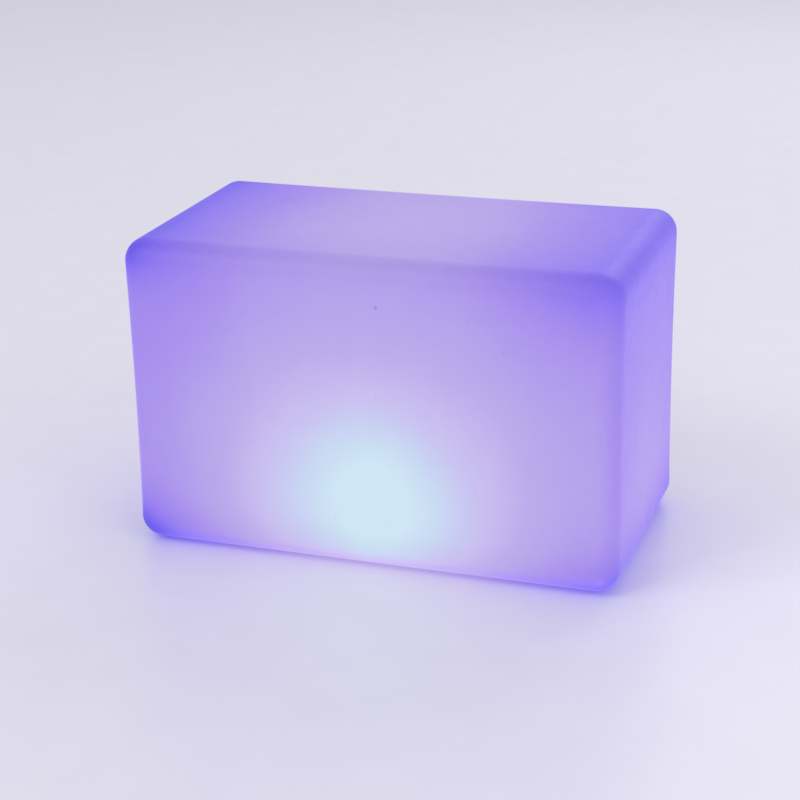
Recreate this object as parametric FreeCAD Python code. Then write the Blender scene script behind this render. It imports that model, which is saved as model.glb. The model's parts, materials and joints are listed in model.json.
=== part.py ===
import FreeCAD, Part
import math
import os

os.makedirs("parts", exist_ok=True)

# A rounded light block that stands on the floor: a moulded translucent shell with a sealed,
# rechargeable lamp unit screwed into a pocket in its underside.
# Millimetres. The origin is on the floor under the middle of the block. +Z is up, +X runs along
# the block's length and -Y is its front.

# --- Block ----------------------------------------------------------------------------------------
block_length = 550.0  # left to right
block_width = 300.0  # front to back
block_height = 350.0  # floor to top face, feet included
edge_radius = 26.0  # all outer edges and corners
shell_wall = 3.5  # moulded polyethylene
least_inner_radius = 1.0  # of the hollow's edges, if the wall takes up the outer radius

# --- Feet: rubber pads, stuck into shallow sockets ------------------------------------------------
foot_diameter = 20.0
foot_proud = 2.0  # lifts the shell off the floor
foot_socket_depth = 1.5
foot_socket_gap = 0.3  # around the pad
foot_inset = 48.0  # from the block's sides to the pad's centre
foot_bevel = 0.8
tape_thickness = 0.3
tape_margin = 1.0  # the tape disc is smaller than its pad by this all round

# --- Pocket in the underside, where the lamp unit is screwed in -----------------------------------
pocket_depth = 12.0
pocket_mouth_radius = 3.0
mouth_wall_share = 0.9  # the most of the wall that the mouth's rounding takes
seat_width = 18.0  # ring of the pocket's roof that the gasket presses on
opening_gap = 5.0  # between the opening and the unit that passes through it

# --- Fastening of the unit: M4 screws into brass inserts ------------------------------------------
mounting_screw_count = 6
mounting_first_angle = 0.0  # degrees from +X
mounting_shank_radius = 2.0
mounting_head_radius = 4.0
mounting_head_height = 2.6
mounting_screw_length = 13.0
mounting_hole_gap = 0.3
washer_radius = 4.6
washer_thickness = 1.2
insert_radius = 3.0
insert_length = 8.0
insert_fit = 0.05  # around the insert, and around the screw in it
insert_boss_radius = 7.0
insert_boss_cap = 3.0  # plastic above the insert
insert_groove_depth = 0.4  # round the insert's middle, to hold it in the plastic
insert_groove_width = 1.6

# --- Base plate and gasket ------------------------------------------------------------------------
plate_thickness = 3.5
plate_side_gap = 1.5  # to the pocket's wall
plate_bevel = 1.0
gasket_thickness = 1.5
gasket_margin = 1.0  # inside both rims of its seat
spigot_height = 4.0  # ring on the plate that centres the housing
spigot_thickness = 2.0
spigot_fit = 0.2
spigot_notch_gap = 0.4  # around the housing's screw bosses

# --- Housing: an upturned cup over the battery and the control board ------------------------------
housing_wall = 2.5
housing_ceiling = 3.0
bay_clearance = 0.8  # between what the bay holds and the spigot
ceiling_clearance = 5.5  # above the tallest thing in the bay
housing_boss_radius = 4.0
boss_overlap = 0.5  # how far a boss runs into the wall it stands on
housing_screw_count = 4
housing_first_angle = 45.0
housing_screw_radius = 1.5
housing_screw_head_radius = 3.0
housing_screw_length = 14.0
thread_fit = 0.03  # around a self-tapping screw
seal_width = 1.6  # square silicone ring under the housing's rim
seal_depth = 1.4
seal_gap = 0.1

# --- Battery: two cylindrical lithium cells side by side ------------------------------------------
cell_diameter = 18.4
cell_length = 65.0
cell_spacing = 1.3
cell_fit = 0.1
cell_cap_radius = 3.6  # raised positive end
cell_cap_height = 0.8
cell_bevel = 0.6
cradle_front = 9.0  # from the unit's axis to the cradle's front wall
cradle_wall = 2.0
cradle_floor = 2.0
cradle_end_wall = 3.0
cradle_end_rise = 4.2  # end walls above the cells' axes
ear_length = 8.0
ear_width = 12.0
ear_thickness = 2.0
ear_post_height = 4.0
ear_post_radius = 4.0
strap_thickness = 1.0
strap_side_gap = 0.3  # between the strap's legs and the cradle
strap_bend_radius = 1.0
strap_screw_radius = 1.25
strap_screw_head_radius = 2.1
strap_screw_head_height = 1.6
strap_screw_length = 6.0
strip_thickness = 0.5  # nickel strips that join the cells
strip_width = 7.0
strip_end_gap = 0.2
strip_slot_gap = 0.3  # around a strip's lower edge in the cradle
lead_diameter = 1.7
lead_below_ceiling = 3.2  # the leads' level stretch
lead_first_bend_drop = 1.5
widest_bend_share = 0.45  # of the shorter run that a lead's bend joins
red_lead_route = [(31.9, 8.3), (27.2, -4.0)]  # chosen by hand, in plan, between tab and connector
black_lead_route = [(-26.5, 9.3), (-8.0, 6.3), (9.8, -2.0)]

# --- Control board, component side up, hung over the plate on four posts --------------------------
board_length = 70.0
board_width = 38.0
board_thickness = 1.6
board_rear = -9.0  # y of the board's rear edge, from the unit's axis
post_height = 12.0
post_radius = 3.5
board_hole_inset = 4.0
board_screw_radius = 1.25
board_screw_head_radius = 2.3
board_screw_head_height = 1.5
board_screw_length = 7.0
controls_from_rear = 21.0  # from the board's rear edge to the row of controls
button_x = -18.0
indicator_x = 0.0
port_x = 18.0

# --- What stands on the control board -------------------------------------------------------------
chip_length = 6.0
chip_width = 4.0
chip_height = 1.6
chip_lead_reach = 0.9
chip_lead_width = 0.45
chip_lead_height = 0.5
chip_lead_pitch = 1.27
chip_leads_per_side = 4
chip_dot_radius = 0.4
chip_dot_depth = 0.3
chip_dot_inset = 1.0
chip_behind_controls = -3.0  # rows of parts on the board, measured from the row of controls
microcontroller_x = 0.0
charge_chip_x = 13.0
inductor_radius = 4.0
inductor_height = 5.0
inductor_waist = 3.0
inductor_flange = 1.2
inductor_x = 24.0
inductor_behind_controls = -4.0
capacitor_radius = 3.15
capacitor_height = 7.0
capacitor_spacing = 10.0
capacitor_count = 2
capacitor_x = -25.0
capacitor_behind_controls = 4.0
capacitor_crimp_low = 1.2
capacitor_crimp_high = 1.8
capacitor_crimp_depth = 0.3
transistor_size = 3.0
transistor_height = 1.5
transistor_pitch = 6.0
transistor_count = 3
transistor_first_x = -14.0
transistor_behind_controls = 6.0
resistor_length = 2.0
resistor_width = 1.25
resistor_height = 0.6
resistor_pitch = 4.0
resistor_count = 8
resistor_first_x = -14.0
resistor_from_front = 5.0
connector_height = 5.0
connector_depth = 5.0
connector_key_depth = 0.8  # two grooves down the front that key the plug
connector_key_width = 1.0
battery_connector_length = 8.0
battery_connector_x = 20.0
ribbon_connector_length = 9.0
ribbon_x = -8.0
connector_from_rear = 7.0  # from the board's rear edge to the connectors' row behind it
lead_pitch = 2.5

# --- Charging jack, for a 5.5 mm barrel plug with a 2.1 mm bore -----------------------------------
jack_length = 11.0
jack_width = 9.0
jack_plate_gap = 0.5  # between the jack's body and the base plate
jack_nose_radius = 4.0
jack_nose_gap = 0.2
jack_bore_radius = 2.8
jack_bore_depth = 9.5
jack_pin_radius = 1.03
jack_pin_recess = 0.6  # the pin's tip behind the jack's face
jack_pin_bevel = 0.3
jack_tail_radius = 0.8
jack_tail_fit = 0.02

# --- Port plug: a silicone flap with a hollow stub, on a strap ------------------------------------
flap_width = 12.0
flap_thickness = 1.6
flap_reach = 17.5  # from the hinge line to the free end
flap_gap = 0.3  # around the flap in its recess
flap_seat_gap = 0.2  # above the flap
hinge_reach = 9.0  # from the port's axis to the hinge line
hinge_slit = 0.1  # each side of the hinge line
stub_root_radius = 2.65
stub_tip_radius = 2.3
stub_bore_radius = 1.95
stub_length = 2.0
tab_length = 3.0
tab_width = 6.0
tab_proud = 0.8
tab_inset = 1.0
anchor_length = 7.0
anchor_width = 8.0
anchor_peg_radius = 1.5
anchor_peg_gap = 0.1
anchor_head_radius = 2.4
anchor_head_height = 1.2

# --- Power button, its seal and its switch --------------------------------------------------------
button_radius = 5.5
button_gap = 0.3
button_dish_radius = 9.0  # shallow dish in the plate around the button
button_dish_depth = 0.8
button_flange_radius = 7.0
button_flange_height = 1.3
button_seat_gap = 0.2
button_stem_radius = 2.5
button_stem_height = 2.0
button_hollow_radius = 7.0  # radius of the ball that the fingertip hollow is cut with
button_hollow_depth = 0.5
button_travel = 0.8
button_seal_width = 1.3
button_seal_depth = 1.2
plunger_gap = 0.1  # between the button's stem and the plunger, and around the plunger
plunger_radius = 1.75
plunger_grip = 1.2  # length of the plunger inside the switch at rest
switch_size = 6.0
switch_height = 3.5
switch_stop_gap = 0.3  # left above the plunger when it is pressed

# --- Charge indicator -----------------------------------------------------------------------------
pipe_radius = 1.5
pipe_gap = 0.1
pipe_flange_radius = 2.4
pipe_flange_height = 1.0
indicator_length = 3.0
indicator_width = 2.8
indicator_height = 1.9

# --- LED board, its heat spreader and its dome ----------------------------------------------------
spreader_thickness = 2.0
spreader_margin = 3.0  # the spreader is wider than the LED board by this all round
led_board_radius = 50.0
led_board_thickness = 1.6
led_outer_ring_radius = 42.0
led_outer_count = 12
led_inner_ring_radius = 21.0
led_inner_count = 6
led_size = 5.0
led_height = 1.6
led_window_radius = 2.0
led_window_depth = 0.3
led_screw_count = 4
led_first_angle = 45.0
led_screw_radius = 1.5
led_screw_head_radius = 2.8
led_screw_head_height = 1.8
led_screw_length = 9.0
ceiling_boss_depth = 4.0
receiver_length = 6.0
receiver_width = 5.0
receiver_height = 5.5
receiver_lens_radius = 2.4
dome_flange_width = 9.0
dome_flange_thickness = 2.5
dome_flange_margin = 1.5  # inside the housing's rim
dome_rise = 18.0
dome_wall = 2.0
dome_seal_thickness = 1.2
dome_seal_margin = 1.0
dome_screw_count = 6
dome_first_angle = 0.0
dome_screw_radius = 1.5
dome_screw_head_radius = 2.8
dome_screw_head_height = 1.8
dome_screw_length = 9.0
dome_boss_depth = 5.0
screw_hole_gap = 0.2  # around a screw where it passes through a piece

# --- Ribbon from the control board up to the LED board --------------------------------------------
ribbon_width = 7.0
ribbon_thickness = 0.9
ribbon_exit_y = -4.0
ribbon_drop = 3.5  # its level run below the ceiling
ribbon_bend_radius = 2.0
ribbon_slot_gap = 0.3
grommet_radius = 6.0
grommet_flange_radius = 8.0
grommet_flange_thickness = 1.2
grommet_fit = 0.1

# --- Shares of a screw head that its cross recess takes -------------------------------------------
recess_reach = 0.62
recess_slot = 0.2
recess_depth = 0.55
head_shoulder = 0.4  # part of a pan head's height that is straight
head_bulge_out = 0.72  # a point of the head's rounded crown, as shares of its radius and height
head_bulge_down = 0.86

CUT_PAST = 1.0  # how far a cutting tool runs past the face that it opens

# --- Levels, worked out from the sizes ------------------------------------------------------------
shell_floor = foot_proud
pocket_roof = shell_floor + pocket_depth
plate_top = pocket_roof - gasket_thickness
plate_bottom = plate_top - plate_thickness
recess_floor = plate_bottom + flap_thickness + flap_seat_gap
cell_radius = cell_diameter / 2
cell_axis = plate_top + cradle_floor + cell_fit + cell_radius
ear_bottom = plate_top + ear_post_height
ear_top = ear_bottom + ear_thickness
strap_top = cell_axis + cell_radius + strap_thickness
board_bottom = plate_top + post_height
board_top = board_bottom + board_thickness
bay_top = max(strap_top, board_top + capacitor_height)
ceiling_bottom = bay_top + ceiling_clearance
ceiling_top = ceiling_bottom + housing_ceiling
spreader_top = ceiling_top + spreader_thickness
led_board_top = spreader_top + led_board_thickness
dome_flange_bottom = ceiling_top + dome_seal_thickness
dome_flange_top = dome_flange_bottom + dome_flange_thickness

# --- Places in plan, worked out from the sizes ----------------------------------------------------
front_cell_y = cradle_front + cradle_wall + cell_fit + cell_radius
rear_cell_y = front_cell_y + cell_diameter + cell_spacing
cradle_rear = rear_cell_y + cell_radius + cell_fit + cradle_wall
cell_end = cell_length / 2
cradle_inner_end = cell_end + cell_cap_height + strip_thickness + strip_end_gap
cradle_outer_end = cradle_inner_end + cradle_end_wall
board_end = board_length / 2
board_front = board_rear - board_width
controls_y = board_rear - controls_from_rear
connector_y = board_rear - connector_from_rear
bay_radius = max(
    math.hypot(cradle_outer_end, cradle_rear),
    math.hypot(ear_width / 2, cradle_rear + ear_length),
    math.hypot(board_end, board_front),
)
spigot_inner_radius = bay_radius + bay_clearance
spigot_outer_radius = spigot_inner_radius + spigot_thickness
housing_inner_radius = spigot_outer_radius + spigot_fit
housing_radius = housing_inner_radius + housing_wall
housing_screw_circle = housing_inner_radius - housing_boss_radius + boss_overlap
seal_radius = (housing_inner_radius + housing_radius) / 2
opening_radius = housing_radius + opening_gap
pocket_radius = opening_radius + seat_width
mounting_circle = opening_radius + seat_width / 2
plate_radius = pocket_radius - plate_side_gap
dome_flange_radius = housing_radius - dome_flange_margin
dome_inner_radius = dome_flange_radius - dome_flange_width
dome_screw_circle = (dome_flange_radius + dome_inner_radius + dome_wall) / 2
led_screw_circle = (led_outer_ring_radius + led_inner_ring_radius) / 2
hinge_x = port_x + hinge_reach
foot_radius = foot_diameter / 2
foot_x = block_length / 2 - foot_inset
foot_y = block_width / 2 - foot_inset

X_AXIS = FreeCAD.Vector(1, 0, 0)
Y_AXIS = FreeCAD.Vector(0, 1, 0)
Z_AXIS = FreeCAD.Vector(0, 0, 1)
ORIGIN = FreeCAD.Vector(0, 0, 0)


# --- Building blocks ------------------------------------------------------------------------------


def point(x, y, z):
    return FreeCAD.Vector(x, y, z)


def disc(radius, low, high, x=0.0, y=0.0):
    """Upright cylinder between two levels."""
    return Part.makeCylinder(radius, high - low, point(x, y, low))


def ring(outer, inner, low, high, x=0.0, y=0.0):
    """Upright tube between two levels."""
    hole = disc(inner, low - CUT_PAST, high + CUT_PAST, x, y)
    return disc(outer, low, high, x, y).cut(hole)


def cone(low_radius, high_radius, low, high, x=0.0, y=0.0):
    return Part.makeCone(low_radius, high_radius, high - low, point(x, y, low))


def block(x_low, x_high, y_low, y_high, low, high):
    """Box between its lowest and highest corners."""
    return Part.makeBox(x_high - x_low, y_high - y_low, high - low, point(x_low, y_low, low))


def centred_block(size_x, size_y, low, high, x=0.0, y=0.0):
    return block(x - size_x / 2, x + size_x / 2, y - size_y / 2, y + size_y / 2, low, high)


def lying_rod(radius, x_low, x_high, y, z):
    """Cylinder along X."""
    return Part.makeCylinder(radius, x_high - x_low, point(x_low, y, z), X_AXIS)


def on_circle(radius, count, first_angle):
    """Evenly spaced places on a circle about the unit's axis, the first at first_angle degrees."""
    angles = [math.radians(first_angle + 360.0 * i / count) for i in range(count)]
    return [(radius * math.cos(a), radius * math.sin(a)) for a in angles]


def turned(edges):
    """Solid of revolution about the Z axis, from the edges of a half section in the XZ plane."""
    return Part.Face(Part.Wire(edges)).revolve(ORIGIN, Z_AXIS, 360)


def line(a, b):
    return Part.LineSegment(a, b).toShape()


def arc(a, b, c):
    """Arc from a through b to c."""
    return Part.Arc(a, b, c).toShape()


def rounded_block(size_x, size_y, low, high, radius):
    """Box about the Z axis with every edge rounded to one radius."""
    plain = centred_block(size_x, size_y, low, high)
    return plain.makeFillet(radius, plain.Edges)


def tongue(x_end, x_root, y, width, low, high):
    """Flat strip along X whose x_end is a half circle."""
    centre = x_end + width / 2
    return block(centre, x_root, y - width / 2, y + width / 2, low, high).fuse(
        disc(width / 2, low, high, centre, y)
    ).removeSplitter()


def pan_screw(x, y, seat, upward, shank_radius, head_radius, head_height, length):
    """Pan-head screw with a cross recess, its head on the level seat and its shank upward or downward."""
    crown = point(0, 0, -head_height)
    shoulder = point(head_radius, 0, -head_height * head_shoulder)
    bulge = point(head_radius * head_bulge_out, 0, -head_height * head_bulge_down)
    rim = point(head_radius, 0, 0)
    head = turned([
        arc(crown, bulge, shoulder),
        line(shoulder, rim),
        line(rim, ORIGIN),
        line(ORIGIN, crown),
    ])
    floor = -head_height * (1 - recess_depth)
    slot = head_radius * recess_slot
    reach = head_radius * recess_reach
    bottom = -head_height - CUT_PAST
    screw = head.fuse(disc(shank_radius, 0, length)).removeSplitter()
    screw = screw.cut([
        centred_block(2 * reach, 2 * slot, bottom, floor),
        centred_block(2 * slot, 2 * reach, bottom, floor),
    ])
    if not upward:
        screw.rotate(ORIGIN, X_AXIS, 180)
    screw.translate(point(x, y, seat))
    return screw


def countersunk_screw(x, y, face, shank_radius, head_radius, length):
    """Countersunk screw that points up, its head flush with the level face."""
    depth = head_radius - shank_radius
    screw = cone(head_radius, shank_radius, face, face + depth, x, y)
    screw = screw.fuse(disc(shank_radius, face + depth, face + length, x, y)).removeSplitter()
    slot = head_radius * recess_slot
    reach = head_radius * recess_reach
    floor = face + depth * recess_depth
    bottom = face - CUT_PAST
    return screw.cut([
        centred_block(2 * reach, 2 * slot, bottom, floor, x, y),
        centred_block(2 * slot, 2 * reach, bottom, floor, x, y),
    ])


def rounded_path(points, radius=None):
    """Straight runs joined by tangent arcs, each as large as its shorter run allows if no radius is given."""
    edges = []
    start = points[0]
    for before, corner, after in zip(points, points[1:], points[2:]):
        back = before - corner
        on = after - corner
        shorter = min(back.Length, on.Length)
        back.normalize()
        on.normalize()
        half_turn = (math.pi - back.getAngle(on)) / 2
        bend = radius or widest_bend_share * shorter / math.tan(half_turn)
        reach = bend * math.tan(half_turn)
        enter = corner + back * reach
        leave = corner + on * reach
        inward = back + on
        inward.normalize()
        middle = corner + inward * (bend / math.cos(half_turn) - bend)
        edges += [line(start, enter), arc(enter, middle, leave)]
        start = leave
    edges.append(line(start, points[-1]))
    return Part.Wire(edges)


def swept(path, profile):
    """One closed section carried along a path."""
    return path.makePipeShell([profile], True, False)


def rectangle(centre, across, along):
    """Closed rectangular section with its sides along two vectors of full length."""
    corners = [
        centre - across / 2 - along / 2,
        centre + across / 2 - along / 2,
        centre + across / 2 + along / 2,
        centre - across / 2 + along / 2,
    ]
    return Part.Wire([line(a, b) for a, b in zip(corners, corners[1:] + corners[:1])])


# --- Places that several pieces share -------------------------------------------------------------

mounting_places = on_circle(mounting_circle, mounting_screw_count, mounting_first_angle)
housing_screw_places = on_circle(housing_screw_circle, housing_screw_count, housing_first_angle)
dome_screw_places = on_circle(dome_screw_circle, dome_screw_count, dome_first_angle)
led_screw_places = on_circle(led_screw_circle, led_screw_count, led_first_angle)
led_places = on_circle(led_outer_ring_radius, led_outer_count, 0) + on_circle(
    led_inner_ring_radius, led_inner_count, 30
)
foot_places = {
    "foot_front_left": (-foot_x, -foot_y),
    "foot_front_right": (foot_x, -foot_y),
    "foot_rear_left": (-foot_x, foot_y),
    "foot_rear_right": (foot_x, foot_y),
}
board_hole_places = [
    (side * (board_end - board_hole_inset), y)
    for side in (-1, 1)
    for y in (board_rear - board_hole_inset, board_front + board_hole_inset)
]
strap_screw_places = [
    (0.0, cradle_front - ear_length / 2),
    (0.0, cradle_rear + ear_length / 2),
]


# --- Shell and what it carries --------------------------------------------------------------------


def shell():
    """Hollow rounded block with the unit's pocket, the opening through its roof and the foot sockets."""
    outer = rounded_block(block_length, block_width, shell_floor, block_height, edge_radius)
    cavity = rounded_block(
        block_length - 2 * shell_wall,
        block_width - 2 * shell_wall,
        shell_floor + shell_wall,
        block_height - shell_wall,
        max(edge_radius - shell_wall, least_inner_radius),
    )
    socket_roof = shell_floor + foot_socket_depth
    socket_radius = foot_radius + foot_socket_gap
    rises = [disc(pocket_radius + shell_wall, shell_floor, pocket_roof + shell_wall)]
    boss_top = pocket_roof + insert_length + insert_boss_cap
    rises += [disc(insert_boss_radius, pocket_roof, boss_top, x, y) for x, y in mounting_places]
    rises += [
        disc(socket_radius + shell_wall, shell_floor, socket_roof + shell_wall, x, y)
        for x, y in foot_places.values()
    ]
    body = outer.cut(cavity.cut(rises))
    body = body.cut([pocket_cutter(), disc(opening_radius, shell_floor, pocket_roof + shell_wall + CUT_PAST)])
    body = body.cut([
        disc(insert_radius + insert_fit, pocket_roof - CUT_PAST, pocket_roof + insert_length, x, y)
        for x, y in mounting_places
    ])
    return body.cut([
        disc(socket_radius, shell_floor - CUT_PAST, socket_roof, x, y) for x, y in foot_places.values()
    ])


def pocket_cutter():
    """What the pocket takes out of the shell: a round hollow whose mouth is rounded over."""
    mouth = min(pocket_mouth_radius, shell_wall * mouth_wall_share)
    slant = mouth * (1 - math.sqrt(0.5))
    below = shell_floor - CUT_PAST
    corners = [
        point(0, 0, below),
        point(pocket_radius + mouth, 0, below),
        point(pocket_radius + mouth, 0, shell_floor),
        point(pocket_radius, 0, shell_floor + mouth),
        point(pocket_radius, 0, pocket_roof),
        point(0, 0, pocket_roof),
    ]
    middle = point(pocket_radius + slant, 0, shell_floor + slant)
    return turned([
        line(corners[0], corners[1]),
        line(corners[1], corners[2]),
        arc(corners[2], middle, corners[3]),
        line(corners[3], corners[4]),
        line(corners[4], corners[5]),
        line(corners[5], corners[0]),
    ])


def threaded_inserts():
    """Brass bushes moulded into the bosses, a groove round each to hold it."""
    bore = mounting_shank_radius + insert_fit
    low = pocket_roof
    high = pocket_roof + insert_length
    middle = (low + high) / 2
    inserts = []
    for x, y in mounting_places:
        bush = ring(insert_radius, bore, low, high, x, y)
        groove = ring(
            insert_radius + CUT_PAST,
            insert_radius - insert_groove_depth,
            middle - insert_groove_width / 2,
            middle + insert_groove_width / 2,
            x,
            y,
        )
        inserts.append(bush.cut(groove))
    return inserts


def foot(x, y):
    """Round rubber pad with a bevelled lower rim."""
    top = shell_floor + foot_socket_depth - tape_thickness
    pad = disc(foot_radius, foot_bevel, top, x, y)
    return pad.fuse(cone(foot_radius - foot_bevel, foot_radius, 0, foot_bevel, x, y)).removeSplitter()


def foot_tape_discs():
    roof = shell_floor + foot_socket_depth
    return [
        disc(foot_radius - tape_margin, roof - tape_thickness, roof, x, y) for x, y in foot_places.values()
    ]


# --- Base plate and its fastening -----------------------------------------------------------------


def base_plate():
    """Round cover of the lamp unit, with the spigot, posts, port recess, button dish and screw holes."""
    plate = disc(plate_radius, plate_bottom + plate_bevel, plate_top)
    plate = plate.fuse(
        cone(plate_radius - plate_bevel, plate_radius, plate_bottom, plate_bottom + plate_bevel)
    )
    plate = plate.removeSplitter()
    spigot = ring(spigot_outer_radius, spigot_inner_radius, plate_top, plate_top + spigot_height)
    notch = housing_boss_radius + spigot_notch_gap
    spigot = spigot.cut([
        disc(notch, plate_top, plate_top + spigot_height + CUT_PAST, x, y) for x, y in housing_screw_places
    ])
    posts = [disc(post_radius, plate_top, board_bottom, x, y) for x, y in board_hole_places]
    posts += [disc(ear_post_radius, plate_top, ear_bottom, x, y) for x, y in strap_screw_places]
    plate = plate.fuse([spigot] + posts)
    return plate.cut(plate_openings())


def plate_openings():
    """Every hole, groove and recess in the base plate."""
    below = plate_bottom - CUT_PAST
    above = plate_top + CUT_PAST
    tools = [
        disc(mounting_shank_radius + mounting_hole_gap, below, above, x, y) for x, y in mounting_places
    ]
    sink = housing_screw_head_radius - housing_screw_radius
    tools += [
        cone(housing_screw_head_radius, housing_screw_radius, plate_bottom, plate_bottom + sink, x, y)
        for x, y in housing_screw_places
    ]
    tools += [
        disc(housing_screw_radius + screw_hole_gap, plate_bottom, above, x, y) for x, y in housing_screw_places
    ]
    tools += [
        disc(board_screw_radius + thread_fit, board_bottom - board_screw_length, board_bottom + CUT_PAST, x, y)
        for x, y in board_hole_places
    ]
    strap_hole_floor = ear_top + strap_thickness - strap_screw_length - thread_fit
    tools += [
        disc(strap_screw_radius + thread_fit, strap_hole_floor, ear_bottom + CUT_PAST, x, y)
        for x, y in strap_screw_places
    ]
    tools.append(ring(
        seal_radius + seal_width / 2 + seal_gap,
        seal_radius - seal_width / 2 - seal_gap,
        plate_top - seal_depth,
        above,
    ))
    tools += port_recess(below, above)
    tools += button_openings(below, above)
    tools.append(disc(pipe_radius + pipe_gap, below, above, indicator_x, controls_y))
    return tools


def port_recess(below, above):
    """Recess for the port plug, and the holes for the jack's nose and the plug's peg."""
    flap_end = hinge_x - flap_reach - flap_gap
    return [
        tongue(flap_end, hinge_x + hinge_slit, controls_y, flap_width + 2 * flap_gap, below, recess_floor),
        block(
            hinge_x,
            hinge_x + anchor_length + flap_gap,
            controls_y - anchor_width / 2 - flap_gap,
            controls_y + anchor_width / 2 + flap_gap,
            below,
            recess_floor,
        ),
        disc(jack_nose_radius + jack_nose_gap, below, above, port_x, controls_y),
        disc(anchor_peg_radius + anchor_peg_gap, below, above, hinge_x + anchor_length / 2, controls_y),
    ]


def button_openings(below, above):
    """Dish, hole and seal groove of the power button."""
    return [
        cone(button_dish_radius, button_radius + button_gap, plate_bottom, plate_bottom + button_dish_depth,
             button_x, controls_y),
        disc(button_radius + button_gap, below, above, button_x, controls_y),
        disc(button_radius + button_gap + button_seal_width, plate_top - button_seal_depth, above,
             button_x, controls_y),
    ]


def base_gasket():
    """Flat silicone ring between the plate and the pocket's roof."""
    gasket = ring(plate_radius - gasket_margin, opening_radius + gasket_margin, plate_top, pocket_roof)
    return gasket.cut([
        disc(mounting_shank_radius + mounting_hole_gap, plate_top - CUT_PAST, pocket_roof + CUT_PAST, x, y)
        for x, y in mounting_places
    ])


def sealing_washers():
    bore = mounting_shank_radius + mounting_hole_gap
    return [
        ring(washer_radius, bore, plate_bottom - washer_thickness, plate_bottom, x, y)
        for x, y in mounting_places
    ]


def mounting_screws():
    seat = plate_bottom - washer_thickness
    return [
        pan_screw(x, y, seat, True, mounting_shank_radius, mounting_head_radius, mounting_head_height,
                  mounting_screw_length)
        for x, y in mounting_places
    ]


# --- Housing --------------------------------------------------------------------------------------


def unit_housing():
    """Upturned cup with screw bosses down its wall and under its ceiling."""
    cup = disc(housing_radius, plate_top, ceiling_top).cut(
        disc(housing_inner_radius, plate_top - CUT_PAST, ceiling_bottom)
    )
    bosses = [disc(housing_boss_radius, plate_top, ceiling_bottom, x, y) for x, y in housing_screw_places]
    bosses += [
        disc(housing_boss_radius, ceiling_bottom - dome_boss_depth, ceiling_bottom, x, y)
        for x, y in dome_screw_places
    ]
    bosses += [
        disc(housing_boss_radius, ceiling_bottom - ceiling_boss_depth, ceiling_bottom, x, y)
        for x, y in led_screw_places
    ]
    inside = disc(housing_inner_radius + housing_wall / 2, plate_top, ceiling_top)
    cup = cup.fuse([boss.common(inside) for boss in bosses]).removeSplitter()
    holes = [
        disc(housing_screw_radius + thread_fit, plate_top - CUT_PAST, plate_bottom + housing_screw_length, x, y)
        for x, y in housing_screw_places
    ]
    dome_seat = dome_flange_top - dome_screw_length
    holes += [
        disc(dome_screw_radius + thread_fit, dome_seat, ceiling_top + CUT_PAST, x, y)
        for x, y in dome_screw_places
    ]
    led_seat = led_board_top - led_screw_length
    holes += [
        disc(led_screw_radius + thread_fit, led_seat, ceiling_top + CUT_PAST, x, y) for x, y in led_screw_places
    ]
    holes.append(disc(
        grommet_radius, ceiling_bottom - CUT_PAST, ceiling_top + CUT_PAST, ribbon_x, ribbon_exit_y
    ))
    return cup.cut(holes)


def housing_seal():
    return ring(seal_radius + seal_width / 2, seal_radius - seal_width / 2, plate_top - seal_depth, plate_top)


def housing_screws():
    return [
        countersunk_screw(x, y, plate_bottom, housing_screw_radius, housing_screw_head_radius,
                          housing_screw_length)
        for x, y in housing_screw_places
    ]


# --- Battery --------------------------------------------------------------------------------------


def battery_cell(y):
    """Lithium cell along X: a can with bevelled ends and a raised positive cap at its right end."""
    can = lying_rod(cell_radius, -cell_end, cell_end, y, cell_axis)
    rims = [edge for edge in can.Edges if edge.isClosed() and len(edge.Vertexes) == 1]
    can = can.makeChamfer(cell_bevel, rims)
    cap = lying_rod(cell_cap_radius, cell_end, cell_end + cell_cap_height, y, cell_axis)
    return can.fuse(cap)


def battery_cradle():
    """Trough for the two cells, with end walls and an ear at front and back for the strap's screws."""
    trough = block(-cradle_outer_end, cradle_outer_end, cradle_front, cradle_rear, plate_top, cell_axis)
    ends = [
        block(low, high, cradle_front, cradle_rear, plate_top, cell_axis + cradle_end_rise)
        for low, high in (
            (-cradle_outer_end, -cradle_inner_end),
            (cradle_inner_end, cradle_outer_end),
        )
    ]
    half = ear_width / 2
    ears = [
        block(-half, half, cradle_front - ear_length, cradle_front, ear_bottom, ear_top),
        block(-half, half, cradle_rear, cradle_rear + ear_length, ear_bottom, ear_top),
    ]
    cradle = trough.fuse(ends + ears).removeSplitter()
    hollows = [
        lying_rod(cell_radius + cell_fit, -cradle_inner_end, cradle_inner_end, y, cell_axis)
        for y in (front_cell_y, rear_cell_y)
    ]
    holes = [
        disc(strap_screw_radius + screw_hole_gap, ear_bottom - CUT_PAST, ear_top + CUT_PAST, x, y)
        for x, y in strap_screw_places
    ]
    slots = [
        block(
            low,
            high,
            front_cell_y - strip_width / 2 - strip_slot_gap,
            rear_cell_y + strip_width / 2 + strip_slot_gap,
            cell_axis - strip_width / 2 - strip_slot_gap,
            cell_axis + CUT_PAST,
        )
        for low, high in ((-cradle_inner_end, -cell_end), (cell_end, cradle_inner_end))
    ]
    return cradle.cut(hollows + holes + slots)


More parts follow.
